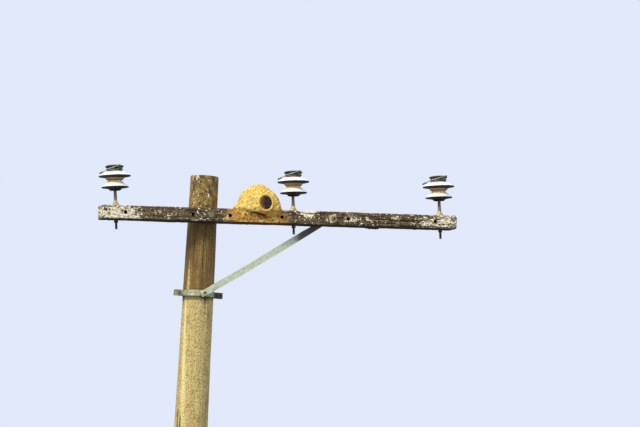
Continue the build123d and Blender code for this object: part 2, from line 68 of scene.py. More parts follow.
# Sizes repeated from the construction, in millimetres
POLE_HEIGHT = 9300.0
POLE_LEAN = 3.16
POLE_STATIONS = (
    (0.0, 160.0),
    (2600.2, 143.0),
    (5400.2, 124.0),
    (7700.2, 107.2),
    (8560.2, 99.4),
    (8980.2, 94.0),
    (9314.2, 90.0),
)
SPARE_HOLES = (-1050.0, -600.0, -350.0, 0.0, 450.0, 1050.0)
SPARE_HOLE_RADIUS = 8.5
PIN_POSITIONS = {"left": -1100.0, "middle": 95.0, "right": 1100.0}
PIN_LEANS = {"left": 2.0, "middle": 1.2, "right": 2.2}
SHELL_SHIFT = {"left": 0.0, "middle": 4.5, "right": 0.0}
NECK_RADIUS = 49.4
NECK_LOW = 225.0
NECK_HIGH = 240.0
PIN_TAIL = 60.0
REAR_SEAT_DEPTH = 4.0
REAR_SEAT_HALF = 27.0
TIE_NEAR = 300.0
TIE_FAR = 150.0
TIE_RADIUS = 2.6

# Thin wire wound on the tie wires' tails, in millimetres
BINDING_RADIUS = 1.6
BINDING_START = 205.0
COIL_RADIUS = 3.9
COIL_PITCH = 9.5

# Entrance of the nest, in millimetres: place along the crossarm and height over its top
MOUTH_PLACE = -126.0
MOUTH_HEIGHT = 41.0
MOUTH_HALF_WIDTH = 41.5
MOUTH_HALF_HEIGHT = 45.5

# Bolts with a threaded end: node, radius and whether that end points forward
THREADED_ENDS = (
    ("main_bolt", 8.0, False),
    ("brace_bolt", 8.0, True),
    ("clamp_bolt_left", 7.0, True),
    ("clamp_bolt_right", 7.0, True),
    ("brace_clamp_bolt", 8.0, True),
)

lean = radians(POLE_LEAN)
LEAN_TANGENT = tan(lean)

# Turn of the view from straight ahead in degrees, and the angle from the pole to the viewer
VIEW_TURN = 19.13
VIEWER_SIDE = -pi / 2 - radians(VIEW_TURN)


def linear(code):
    """Linear colour of an sRGB hex code: each share is cut by the standard curve of the code."""
    shares = [int(code[i : i + 2], 16) / 255 for i in (1, 3, 5)]
    return tuple(s / 12.92 if s <= 0.04045 else ((s + 0.055) / 1.055) ** 2.4 for s in shares)


def full_turn(steps):
    """Even angles once round, without the last one, which is the first again."""
    return np.linspace(0, 2 * pi, steps, endpoint=False)


def wrapped(angle):
    """Angles brought to between minus half a turn and half a turn."""
    return (angle + pi) % (2 * pi) - pi


def bell(value, centre, width, power=2):
    """e to minus a power of the distance from the centre, counted in widths: 1 at the centre."""
    return np.exp(-(((value - centre) / width) ** power))


def smooth_step(value, low, high):
    """0 below low, 1 above high and the cubic 3s2 - 2s3 of the share between."""
    share = np.clip((value - low) / (high - low), 0.0, 1.0)
    return share * share * (3.0 - 2.0 * share)


def lattice_value(cell, seed):
    """Random value from 0 to 1 of each lattice cell, mixed from its three numbers and a seed."""
    key = (cell * np.array([73856093, 19349663, 83492791])).sum(-1) + seed * 2654435761
    key = key.astype(np.uint64)
    key ^= key >> np.uint64(33)
    key *= np.uint64(0xFF51AFD7ED558CCD)
    key ^= key >> np.uint64(33)
    return (key >> np.uint64(11)).astype(float) / 2.0**53


def noise(points, seed):
    """Value noise from 0 to 1: the random values at the eight corners of the cell round each
    point, blended by the smoothed shares of the way across the cell."""
    cell = np.floor(points).astype(np.int64)
    share = points - cell
    share = share * share * (3.0 - 2.0 * share)
    total = np.zeros(points.shape[:-1])
    for corner in np.ndindex(2, 2, 2):
        weight = np.where(np.array(corner) == 1, share, 1.0 - share).prod(-1)
        total += weight * lattice_value(cell + np.array(corner), seed)
    return total


def fractal(points, cell, seed, octaves=4):
    """Sum of value noises, each twice as fine and half as strong as the last, from 0 to 1; the
    first has cells of a given size."""
    shares = points / np.asarray(cell)
    strengths = 0.5 ** np.arange(octaves)
    layers = (noise(shares * 2.0**i, seed + 31 * i) * strengths[i] for i in range(octaves))
    return sum(layers) / strengths.sum()


def rough(points, cell, seed, octaves=3):
    """The same sum of noises about nothing, from -1/2 to 1/2."""
    return fractal(points, cell, seed, octaves) - 0.5


def cell_distance(points, seed):
    """Distance from each point to the nearest of the seeded dots, one in each lattice cell."""
    cell = np.floor(points).astype(np.int64)
    nearest = np.full(points.shape[:-1], 9.0)
    for offset in np.ndindex(3, 3, 3):
        near = cell + np.array(offset) - 1
        dot = np.stack([lattice_value(near, seed + axis) for axis in range(3)], -1)
        nearest = np.minimum(nearest, np.linalg.norm(near + dot - points, axis=-1))
    return nearest


def unit(vectors):
    """Vectors divided by their lengths."""
    return vectors / np.maximum(np.linalg.norm(vectors, axis=-1, keepdims=True), 1e-12)


def swollen(points, distance):
    """Closed grid moved outwards by a distance at each point: outwards is the step along its
    columns crossed with the step along its rows."""
    across = np.roll(points, -1, axis=1) - np.roll(points, 1, axis=1)
    outwards = unit(np.cross(across, np.gradient(points, axis=0)))
    return points + outwards * distance[..., None]


def grid_quads(rows, columns, closed=False, first=0):
    """Quads of a grid numbered row by row, each turned so that columns cross rows outwards."""
    index = np.arange(rows * columns).reshape(rows, columns) + first
    if closed:
        index = np.concatenate([index, index[:, :1]], axis=1)
    corners = [index[:-1, :-1], index[:-1, 1:], index[1:, 1:], index[1:, :-1]]
    return np.stack(corners, -1).reshape(-1, 4)


def ring_fan(first, columns, centre, upward):
    """Triangles from a ring of points to one centre point, facing along or against the rows."""
    ring = np.arange(columns) + first
    following = np.roll(ring, -1)
    middle = np.full(columns, centre)
    order = [ring, following, middle] if upward else [following, ring, middle]
    return np.stack(order, -1)


def capped_grid(points):
    """Grid closed round its columns with a centre point added at each end of its rows."""
    rows, columns, _ = points.shape
    flat = points.reshape(-1, 3)
    ends = np.stack([points[0].mean(0), points[-1].mean(0)])
    count = rows * columns
    faces = [
        grid_quads(rows, columns, closed=True),
        ring_fan(0, columns, count, upward=False),
        ring_fan(count - columns, columns, count + 1, upward=True),
    ]
    return np.concatenate([flat, ends]), faces


def slab(front, back):
    """Closed plate between two open grids of the same shape, front facing along its normals."""
    rows, columns, _ = front.shape
    count = rows * columns
    index = np.arange(count).reshape(rows, columns)
    rim = np.concatenate([index[0, :-1], index[:-1, -1], index[-1, :0:-1], index[:0:-1, 0]])
    following = np.roll(rim, -1)
    sides = np.stack([following, rim, rim + count, following + count], -1)
    faces = [
        grid_quads(rows, columns),
        grid_quads(rows, columns, first=count)[:, ::-1],
        sides,
    ]
    return np.concatenate([front.reshape(-1, 3), back.reshape(-1, 3)]), faces


def tube(path, radius, sides, reference):
    """Round profile carried along a path: each ring lies square to the path's own direction,
    turned from a fixed reference direction."""
    along = unit(np.gradient(path, axis=0))
    side = unit(np.cross(reference, along))
    up = np.cross(along, side)
    angle = full_turn(sides)[None, :, None]
    return path[:, None] + radius * (np.cos(angle) * side[:, None] + np.sin(angle) * up[:, None])


def revolve(outline, sides):
    """Outline of (radius, height) turned round the upright axis."""
    angle = full_turn(sides)[None, :]
    radius, height = outline[:, :1], outline[:, 1:2]
    return np.stack([radius * np.cos(angle), radius * np.sin(angle), height + 0 * angle], -1)


def rounded(outline):
    """Outline with its corners cut, twice, at a quarter and three quarters of each side."""
    outline = np.asarray(outline, float)
    for _ in range(2):
        quarter = 0.75 * outline[:-1] + 0.25 * outline[1:]
        late = 0.25 * outline[:-1] + 0.75 * outline[1:]
        middle = np.stack([quarter, late], 1).reshape(-1, outline.shape[1])
        outline = np.concatenate([outline[:1], middle, outline[-1:]])
    return outline


def flowing(stations, steps):
    """Catmull-Rom curve through rows of numbers, with equally many steps between each two."""
    stations = np.asarray(stations, float)
    ahead = 2 * stations[:1] - stations[1:2]
    beyond = 2 * stations[-1:] - stations[-2:-1]
    padded = np.concatenate([ahead, stations, beyond])
    share = np.linspace(0, 1, steps, endpoint=False)[None, :, None]
    before, start, end, after = (padded[i : len(stations) - 1 + i, None] for i in range(4))
    cubic = 3 * (start - end) + after - before
    square = 2 * before - 5 * start + 4 * end - after
    curve = start + 0.5 * share * (end - before + share * (square + share * cubic))
    return np.concatenate([curve.reshape(-1, stations.shape[1]), stations[-1:]])


def add_piece(name, points, faces, materials, slot, nodes=(), zones=None, values=None, crease=80):
    """Makes a mesh piece that rides on the part, with materials, face zones and point values."""
    mesh = bpy.data.meshes.new(name)
    mesh.from_pydata(points.tolist(), [], [corners for part in faces for corners in part.tolist()])
    for key, value in (values or {}).items():
        layer = mesh.attributes.new(key, "FLOAT", "POINT")
        layer.data.foreach_set("value", np.asarray(value, np.float32).ravel())
    for material in materials:
        mesh.materials.append(material)
    if zones is not None:
        mesh.polygons.foreach_set("material_index", np.asarray(zones, np.int32))
    mesh.polygons.foreach_set("use_smooth", np.ones(len(mesh.polygons), bool))
    mesh.set_sharp_from_angle(angle=radians(crease))
    mesh.validate()
    mesh.update()
    piece = bpy.data.objects.new(name, mesh)
    bpy.context.scene.collection.objects.link(piece)
    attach(piece, BODY)
    if nodes:
        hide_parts(*nodes)
    return piece


def add_solid(name, grid, materials, slot, nodes=(), rows=None, values=None, removed=(), crease=80):
    """Makes a piece of a grid that is closed round its columns and at both ends. Each row's
    material holds down to the row before it; a value of an end centre is its ring's mean, and
    blocks of two by two faces about the removed points are left out."""
    flat, faces = capped_grid(grid)
    columns = grid.shape[1]
    if rows is not None:
        rows = np.concatenate([np.repeat(rows[1:], columns), np.repeat(rows[[0, -1]], columns)])
    listed = {}
    for key, value in (values or {}).items():
        value = np.broadcast_to(value, grid.shape[:2])
        listed[key] = np.concatenate([value.ravel(), [value[0].mean(), value[-1].mean()]])
    if removed:
        keep = np.ones((len(grid) - 1, columns), bool)
        for row, column in removed:
            keep[row - 1 : row + 1, column - 1 : column + 1] = False
        faces[0] = faces[0][keep.ravel()]
    return add_piece(name, flat, faces, materials, slot, nodes, rows, listed, crease)


def new_material(name):
    """Empty node material with its principled shader."""
    material = bpy.data.materials.new(name)
    material.use_nodes = True
    tree = material.node_tree
    shader = next(item for item in tree.nodes if item.type == "BSDF_PRINCIPLED")
    return material, tree, shader


def add_node(tree, kind, inputs=(), output=0, **settings):
    """Adds one node: sets its properties, fills its inputs by place or name with numbers, colours
    or links, and gives back one of its outputs."""
    node = tree.nodes.new("ShaderNode" + kind)
    for key, value in settings.items():
        setattr(node, key, value)
    for key, value in inputs.items() if isinstance(inputs, dict) else enumerate(inputs):
        socket = node.inputs[key]
        if isinstance(value, bpy.types.NodeSocket):
            tree.links.new(value, socket)
        elif socket.type == "RGBA":
            socket.default_value = (*(linear(value) if isinstance(value, str) else value), 1.0)
        else:
            socket.default_value = value
    return node.outputs[output]


def speckled(tree, cell, seed=0.0, detail=3.0, coarse=0.55, turn=(0.0, 0.0, 0.0)):
    """Noise about one half whose cells have a real size in metres along each axis."""
    place = add_node(tree, "TexCoord", output="Object")
    place = add_node(tree, "Mapping", {"Vector": place, "Rotation": turn})
    counts = tuple(1.0 / size for size in cell)
    inputs = {"Vector": place, "Location": (seed, seed, seed), "Scale": counts}
    place = add_node(tree, "Mapping", inputs)
    inputs = {"Vector": place, "Scale": 1.0, "Detail": detail, "Roughness": coarse}
    return add_node(tree, "TexNoise", inputs)


def layered(tree, colour, layers):
    """Colour with layers over it; each comes on as its value goes from a low to a high mark, up
    to its full share."""
    for value, low, high, full, over in layers:
        inputs = (value, low, high, 0.0, full)
        share = add_node(tree, "MapRange", inputs, interpolation_type="SMOOTHSTEP")
        colour = add_node(tree, "Mix", {0: share, 6: colour, 7: over}, 2, data_type="RGBA")
    return colour


# The shader's sockets that hold one number all over a surface
SHADER_SOCKETS = {
    "metallic": "Metallic",
    "roughness": "Roughness",
    "specular": "Specular IOR Level",
}


def finish_surface(tree, shader, colour, heights, depth, **constants):
    """Gives the shader its colour, its constants on their own sockets, and a bump of a real depth
    in metres from weighted values."""
    tree.links.new(colour, shader.inputs["Base Color"])
    for name, value in constants.items():
        shader.inputs[SHADER_SOCKETS[name]].default_value = value
    total = 0.0
    for value, weight in heights:
        total = add_node(tree, "Math", (value, weight, total), operation="MULTIPLY_ADD")
    inputs = {"Height": total, "Strength": 1.0, "Distance": depth}
    tree.links.new(add_node(tree, "Bump", inputs), shader.inputs["Normal"])


def pole_timber(colours):
    """Peeled, pressure-treated plantation timber: straw yellow where it is sound, under a dense dust
    of dark specks, and stained olive brown in runs where the crossarm keeps it wet; painted shade
    darkens it under the crossarm, along the clamp's strap and on its right side below the clamp."""
    material, tree, shader = new_material("peeled_pole_timber")
    turn = (0.0, -lean, 0.0)
    streak = speckled(tree, (0.022, 0.022, 0.6), 0.0, 4.0, 0.5, turn)
    vein = speckled(tree, (0.006, 0.006, 0.2), 3.0, 3.0, 0.55, turn)
    cloud = speckled(tree, (0.06, 0.06, 0.13), 7.0, 4.0, 0.6, turn)
    speck = speckled(tree, (0.0068, 0.0068, 0.0095), 11.0, 3.0, 0.75, turn)
    crust = speckled(tree, (0.024, 0.024, 0.034), 17.0, 4.0, 0.65, turn)
    flake = speckled(tree, (0.009, 0.009, 0.013), 23.0, 2.0, 0.6, turn)
    stain_and_shade, soak_and_shade, lichen, smooth, crack, end = (
        add_node(tree, "Attribute", output="Fac", attribute_name=name)
        for name in ("stain_and_shade", "soak_and_shade", "lichen", "smooth", "crack", "end")
    )
    ragged = add_node(tree, "Math", (streak, 0.7, stain_and_shade), operation="MULTIPLY_ADD")
    dusty = add_node(tree, "Math", (smooth, -0.1, speck), operation="MULTIPLY_ADD")
    grown = add_node(tree, "Math", (lichen, 0.5, crust), operation="MULTIPLY_ADD")
    patch = speckled(tree, (0.03, 0.03, 0.045), 31.0, 4.0, 0.65)
    flaked = add_node(tree, "Math", (lichen, 0.5, flake), operation="MULTIPLY_ADD")
    flaked = add_node(tree, "Math", (crust, 0.45, flaked), operation="MULTIPLY_ADD")
    place = add_node(tree, "TexCoord", output="Object")
    centre = (-POLE_HEIGHT * MM * LEAN_TANGENT, 0.0, 0.0)
    place = add_node(tree, "Mapping", {"Vector": place, "Location": centre})
    # Growth rings about 5 mm apart
    inputs = {"Vector": place, "Scale": 63.0, "Distortion": 1.2, "Detail": 2.0}
    rings = add_node(tree, "TexWave", inputs, 1, wave_type="RINGS", rings_direction="Z")
    sound = layered(
        tree,
        tuple(colours.pole_sound),
        [
            (streak, 0.5, 0.7, 0.5, "#a88b56"),
            (cloud, 0.5, 0.7, 0.55, "#a08552"),
            (vein, 0.52, 0.7, 0.5, "#8a7342"),
            (cloud, 0.42, 0.25, 0.4, "#d8cd92"),
            (smooth, 0.1, 0.9, 0.75, "#ddd297"),
            (dusty, 0.46, 0.59, 0.82, "#6a5530"),
        ],
    )
    wet = layered(
        tree,
        tuple(colours.pole_stained),
        [
            (streak, 0.5, 0.62, 0.55, "#a08a52"),
            (vein, 0.5, 0.66, 0.6, "#544122"),
            (cloud, 0.54, 0.7, 0.45, "#5c4727"),
            (speck, 0.48, 0.6, 0.7, "#46361d"),
            (flake, 0.66, 0.7, 0.5, "#b9a877"),
        ],
    )
    olive = layered(
        tree,
        tuple(colours.pole_lichen),
        [(patch, 0.52, 0.6, 0.8, "#a98c3e"), (patch, 0.49, 0.42, 0.9, "#3a2e20")],
    )
    colour = layered(
        tree,
        sound,
        [
            (ragged, 0.6, 0.84, 1.0, wet),
            # Wet runs and rust streaks, with painted shade under the crossarm and along the clamp's
            # strap
            (soak_and_shade, 0.0, 1.0, 0.9, "#38332d"),
            (grown, 0.9, 0.98, 0.9, olive),
            (flaked, 1.38, 1.42, 1.0, "#f4f0e0"),
            (end, 0.3, 0.9, 1.0, "#857a64"),
        ],
    )
    ring_line = add_node(tree, "Math", (rings, end), operation="MULTIPLY")
    # Painted shade in the checks and the end grain's cracks
    lines = [(ring_line, 0.35, 0.8, 0.6, "#5a4f3d"), (crack, 0.1, 0.9, 1.0, "#2a2015")]
    colour = layered(tree, colour, lines)
    heights = [(streak, 0.8), (vein, 0.5), (speck, -0.3), (grown, 0.5)]
    finish_surface(tree, shader, colour, heights, 0.0025, roughness=0.82, specular=0.3)
    return material


def crossarm_timber(colours):
    """Sawn hardwood, never painted: dark grey brown along the grain, black where algae sit, under
    crusts of cream and grey green lichen that cover the ends, and ochre where mud has run."""
    material, tree, shader = new_material("weathered_crossarm_timber")
    fibre = speckled(tree, (0.14, 0.009, 0.009), 0.0, 5.0, 0.6)
    cloud = speckled(tree, (0.09, 0.045, 0.04), 5.0, 4.0, 0.6)
    algae = speckled(tree, (0.026, 0.018, 0.014), 9.0, 4.0, 0.7)
    crust = speckled(tree, (0.042, 0.026, 0.022), 13.0, 5.0, 0.7)
    flake = speckled(tree, (0.022, 0.015, 0.013), 19.0, 3.0, 0.65)
    gold = speckled(tree, (0.05, 0.02, 0.018), 29.0, 4.0, 0.7)
    gap = speckled(tree, (0.017, 0.012, 0.012), 37.0, 3.0, 0.7)
    lichen, mud, crack, shade = (
        add_node(tree, "Attribute", output="Fac", attribute_name=name)
        for name in ("lichen", "mud", "crack", "shade")
    )
    cover = add_node(tree, "Math", (lichen, 0.36, crust), operation="MULTIPLY_ADD")
    flaked = add_node(tree, "Math", (lichen, 0.2, flake), operation="MULTIPLY_ADD")
    muddy = add_node(tree, "Math", (mud, 0.54, crust), operation="MULTIPLY_ADD")
    thin = add_node(tree, "Math", (cover, 0.5, gap), operation="MULTIPLY_ADD")
    pale = layered(
        tree,
        tuple(colours.lichen_grey),
        [
            (cloud, 0.42, 0.6, 0.9, tuple(colours.lichen_cream)),
            (gold, 0.52, 0.6, 0.5, "#c9b684"),
            (flake, 0.5, 0.62, 0.6, "#f1ecd8"),
            (thin, 0.92, 0.82, 0.9, "#665a41"),
        ],
    )
    soil = layered(
        tree,
        "#c29350",
        [
            (crust, 0.5, 0.64, 0.8, "#8f652e"),
            (gap, 0.52, 0.62, 0.7, "#dcb264"),
            (flake, 0.56, 0.66, 0.8, "#5d421f"),
        ],
    )
    colour = layered(
        tree,
        tuple(colours.arm_wood),
        [
            (fibre, 0.48, 0.66, 0.7, "#8c7c5e"),
            (cloud, 0.52, 0.66, 0.5, "#7a6a49"),
            (gold, 0.6, 0.67, 0.65, "#a8925f"),
            (algae, 0.5, 0.58, 0.8, "#2c231a"),
            (fibre, 0.44, 0.34, 0.8, "#1f1811"),
            (cover, 0.7, 0.735, 1.0, pale),
            (flaked, 0.64, 0.67, 1.0, "#ebe4cc"),
            (muddy, 0.66, 1.05, 0.9, soil),
            # Painted shade in the checks and the holes' mouths
            (crack, 0.1, 0.9, 1.0, "#120e09"),
            # Painted shade on the underside and along the lower front edge
            (shade, 0.0, 1.0, 0.9, "#15110b"),
        ],
    )
    heights = [(fibre, 1.0), (cover, 0.9), (algae, -0.4)]
    finish_surface(tree, shader, colour, heights, 0.004, roughness=0.88, specular=0.25)
    return material


def dried_mud(colours):
    """Sun-dried clay laid as small pellets: matt bright ochre, browner low down, with painted shade
    in its pits and in the crevice under the entrance, and red brown, darkened by painted shade, on
    the inner walls that the sun doesn't bleach."""
    material, tree, shader = new_material("sun_dried_clay")
    cloud = speckled(tree, (0.055, 0.055, 0.045), 4.0, 4.0, 0.6)
    pellet = speckled(tree, (0.013, 0.013, 0.01), 0.0, 3.0, 0.65)
    grit = speckled(tree, (0.0055, 0.0055, 0.005), 8.0, 3.0, 0.7)
    low, pits_and_shade, inside, deep = (
        add_node(tree, "Attribute", output="Fac", attribute_name=name)
        for name in ("low", "pits_and_shade", "inside", "deep")
    )
    rusty = add_node(tree, "Math", (low, 0.6, cloud), operation="MULTIPLY_ADD")
    colour = layered(
        tree,
        tuple(colours.mud_bright),
        [
            (cloud, 0.48, 0.7, 0.7, "#dcae50"),
            (pellet, 0.5, 0.62, 0.8, "#b98838"),
            (pellet, 0.46, 0.36, 0.8, "#f4e694"),
            (grit, 0.54, 0.64, 0.75, "#946a2c"),
            (rusty, 0.62, 1.0, 0.9, tuple(colours.mud_dark)),
            (grit, 0.4, 0.32, 0.75, "#f0d98c"),
            # Painted shade in the pits and in the crevice under the nest's lip
            (pits_and_shade, 0.1, 1.1, 0.95, "#4a3016"),
            # Red brown inner walls, darkened by painted shade
            (inside, 0.1, 0.8, 1.0, "#a8714e"),
            (deep, 0.1, 0.8, 1.0, "#c2b8b0"),
        ],
    )
    heights = [(pellet, 1.0), (grit, 0.5)]
    finish_surface(tree, shader, colour, heights, 0.006, roughness=0.95, specular=0.2)
    return material


def glazed_porcelain(name, light, dark, dirt, dullness, share, gloss=0.5):
    """Wet-process porcelain under a fired glaze: a hard bright gloss whose colour pools slightly,
    under road and pollen dust that dulls it in clouds."""
    material, tree, shader = new_material(name)
    pool = speckled(tree, (0.05, 0.05, 0.02))
    dust = speckled(tree, (0.022, 0.022, 0.016), 6.0, 4.0, 0.65)
    colour = layered(tree, light, [(pool, 0.35, 0.65, 1.0, dark), (dust, 0.5, 0.72, share, dirt)])
    dull = add_node(tree, "MapRange", (dust, 0.45, 0.75, dullness, 0.75))
    tree.links.new(dull, shader.inputs["Roughness"])
    finish_surface(tree, shader, colour, [(pool, 1.0), (dust, 0.3)], 0.0005, specular=gloss)
    return material


def galvanised_steel(name, light, dark, rust, start, grime_and_shadow_from=None):
    """Hot-dip galvanised mild steel, long outdoors: dull zinc in pale spangles with white bloom,
    rust that starts above a level of its own noise where the zinc has gone, and dark dirt with
    painted shadow on the side of a place along the object's X axis, where one is given."""
    material, tree, shader = new_material(name)
    spangle = speckled(tree, (0.016, 0.016, 0.016), 0.0, 2.0)
    bloom = speckled(tree, (0.035, 0.035, 0.035), 4.0, 4.0, 0.65)
    pitting = speckled(tree, (0.006, 0.006, 0.006), 9.0, 3.0)
    worn = add_node(tree, "Math", (pitting, 0.3, bloom), operation="MULTIPLY_ADD")
    end = start + 0.08
    layers = [
        (spangle, 0.4, 0.6, 0.8, dark),
        (bloom, 0.5, 0.7, 0.5, "#dcdfcf"),
        (worn, start, end, 0.9, rust),
    ]
    if grime_and_shadow_from is not None:
        place = add_node(tree, "TexCoord", output="Object")
        place = add_node(tree, "SeparateXYZ", (place,), "X")
        place = add_node(tree, "Math", (bloom, 0.06, place), operation="MULTIPLY_ADD")
        # Dark dirt and painted shadow past the given place along X
        layers.append((place, grime_and_shadow_from + 0.01, grime_and_shadow_from + 0.07, 0.85, "#302c2a"))
    colour = layered(tree, light, layers)
    for socket, sound, rusted in (("Metallic", 0.35, 0.0), ("Roughness", 0.55, 0.85)):
        value = add_node(tree, "MapRange", (worn, start, end, sound, rusted))
        tree.links.new(value, shader.inputs[socket])
    finish_surface(tree, shader, colour, [(bloom, 1.0), (pitting, 0.6)], 0.001)
    return material


def wire_aluminium(name, light, dark):
    """Drawn aluminium wire, oxidised outdoors: grey with a soft sheen and dark smears."""
    material, tree, shader = new_material(name)
    smear = speckled(tree, (0.011, 0.011, 0.011))
    colour = layered(tree, light, [(smear, 0.46, 0.6, 0.85, dark)])
    finish_surface(tree, shader, colour, [(smear, 1.0)], 0.0004, metallic=0.35, roughness=0.55)
    return material


def stage_floor_paint(colour):
    """Matt pale studio floor paint with a faint unevenness."""
    material, tree, shader = new_material("matt_floor_paint")
    cloud = speckled(tree, (0.8, 0.8, 0.8), 0.0, 2.0)
    darker = tuple(0.95 * part for part in colour)
    mixed = layered(tree, colour, [(cloud, 0.3, 0.7, 1.0, darker)])
    tree.links.new(mixed, shader.inputs["Base Color"])
    shader.inputs["Roughness"].default_value = 0.9
    return material


def colour_property(name, description, code):
    """Colour setting whose default is an sRGB hex code."""
    kind = {"subtype": "COLOR", "size": 3, "min": 0, "max": 1}
    return FloatVectorProperty(name=name, description=description, default=linear(code), **kind)


def length_property(name, description, millimetres):
    """Length setting whose default is given in millimetres."""
    default = millimetres * MM
    return FloatProperty(name=name, description=description, default=default, unit="LENGTH")


def angle_property(name, description, degrees):
    """Angle setting whose default is given in degrees."""
    default = radians(degrees)
    return FloatProperty(name=name, description=description, default=default, subtype="ANGLE")


class StageSettings(bpy.types.PropertyGroup):
    """Camera, light and floor"""

    camera_place: FloatVectorProperty(
        name="Camera place",
        description="Where the camera stands",
        default=(-9.904, -32.299, 6.004),
        subtype="TRANSLATION",
        unit="LENGTH",
    )
    camera_yaw: angle_property("Camera yaw", "Turn of the view from +Y towards +X", VIEW_TURN)
    camera_pitch: angle_property("Camera pitch", "Rise of the view above the horizon", 5.16)
    camera_lens: FloatProperty(
        name="Focal length",
        description="Focal length in millimetres for a 36 mm wide sensor",
        default=298.1,
    )
    key_strength: FloatProperty(
        name="Key light", description="Strength of the large soft key light", default=2.95
    )
    key_side: angle_property("Key light side", "Turn of the key light to the left of the view", 35)
    key_rise: angle_property("Key light rise", "Height of the key light above the horizon", 36)
    key_size: angle_property("Key light size", "Width of the light as seen from the object", 16)
    fill_above: FloatProperty(
        name="Fill above", description="Strength of the even light from above", default=1.0
    )
    fill_below: FloatProperty(
        name="Fill below", description="Strength of the even light from below", default=0.42
    )
    backdrop: colour_property("Backdrop", "Pale colour behind the object", "#e1e9fa")
    floor: colour_property("Floor", "Pale colour of the floor", "#dfe3ea")
    floor_radius: length_property("Floor radius", "Radius of the round floor", 3400)


class TimberSettings(bpy.types.PropertyGroup):
    """Sizes of the timber's weathering"""

    pole_wave: length_property("Pole unevenness", "How far the pole's side leaves its taper", 3.0)
    pole_ridge: length_property("Pole ridges", "Depth of the fine ridges along the pole", 1.2)
    pole_checks: IntProperty(
        name="Pole checks", description="Number of drying cracks along the pole", default=30
    )
    arm_edge: length_property("Crossarm edge", "Radius of the crossarm's worn long edges", 7.0)
    arm_ridge: length_property("Crossarm ridges", "Depth of the ridges along the crossarm", 2.4)
    arm_worn_end: length_property("Crossarm worn end", "Radius of its worn right end", 18.0)


class NestSettings(bpy.types.PropertyGroup):
    """Sizes of the mud nest's surface"""

    lump_height: length_property("Lumps", "Height of the broad lumps", 8.0)
    pellet_size: length_property("Pellet size", "Distance between the mud pellets", 14.0)
    pellet_height: length_property("Pellet height", "How far the pellets stand out", 5.5)
    pit_depth: length_property("Pit depth", "Depth of the small pits", 4.5)
    lip_height: length_property("Lip", "How far the lip round the entrance stands out", 9.0)


class ColourSettings(bpy.types.PropertyGroup):
    """Main colours of the finishes"""

    pole_sound: colour_property("Sound pole", "Timber that dries quickly", "#cabb7e")
    pole_stained: colour_property("Stained pole", "Timber that stays wet", "#7c6337")
    pole_lichen: colour_property("Pole lichen", "Lichen on the pole's top", "#80693a")
    arm_wood: colour_property("Crossarm", "Bare weathered hardwood", "#5a4c36")
    lichen_grey: colour_property("Grey lichen", "Thin lichen on the crossarm", "#a5a387")
    lichen_cream: colour_property("Cream lichen", "Thick lichen on the crossarm", "#cacab4")
    mud_bright: colour_property("Dry mud", "Sun-dried mud", "#dfc76c")
    mud_dark: colour_property("Damp mud", "Mud low down and in runs", "#ad7836")
    glaze_white: colour_property("White glaze", "Upper faces of the insulators", "#f2f5f8")
    # Painted shade under the insulators' sheds and on their necks, and dark glaze on their heads
    glaze_dark_and_shade: colour_property("Dark glaze and shade", "Heads and undersides of the insulators", "#16150f")
    zinc: colour_property("Zinc", "Weathered galvanised steel", "#b4bda6")
    rust: colour_property("Rust", "Rust where the zinc has gone", "#5e4028")


def pole_radius(distance):
    """Radius of the pole at a distance up its axis, straight between the measured stations."""
    distances, radii = np.array(POLE_STATIONS).T * MM
    return np.interp(distance, distances, radii)


# Checks that the viewer sees: turn from the viewer's side in degrees, start and end in metres
# above the ground, depth and half width in millimetres
SEEN_CHECKS = (
    (-60, 7.2, 7.86, 9.0, 7.0),
    (-42, 7.1, 7.83, 7.0, 5.0),
    (-49, 8.42, 8.55, 6.0, 4.0),
    (12, 8.62, 8.99, 4.0, 2.2),
    (-25, 8.66, 8.98, 4.0, 2.2),
)


def pole_heights(cut_low, cut_high, top):
    """Heights of the pole's rings: closer in its upper part, at the cut's edges and at the top."""
    finer_from = 7.2
    spans = [
        np.linspace(0, finer_from, 90, endpoint=False),
        np.linspace(finer_from, cut_low - 2 * MM, 122, endpoint=False),
        [cut_low - 0.2 * MM],
        np.linspace(cut_low, cut_high, 12),
        [cut_high + 0.2 * MM],
        np.linspace(cut_high + 3 * MM, top - 6 * MM, 24),
        top - np.array([4.2, 2.4, 1.0, 0.0]) * MM,
    ]
    return np.concatenate(spans)


def pole_checks(count):
    checks = [(VIEWER_SIDE + radians(turn), *rest) for turn, *rest in SEEN_CHECKS]
    random = np.random.default_rng(12)
    for _ in range(count):
        start = random.uniform(0.1, 8.5)
        length = random.uniform(0.4, 1.6)
        turn = VIEWER_SIDE + random.uniform(1.2, 5.0)
        depth = random.uniform(3.0, 6.0)
        checks.append((turn, start, start + length, depth, random.uniform(1.4, 2.6)))
    return checks


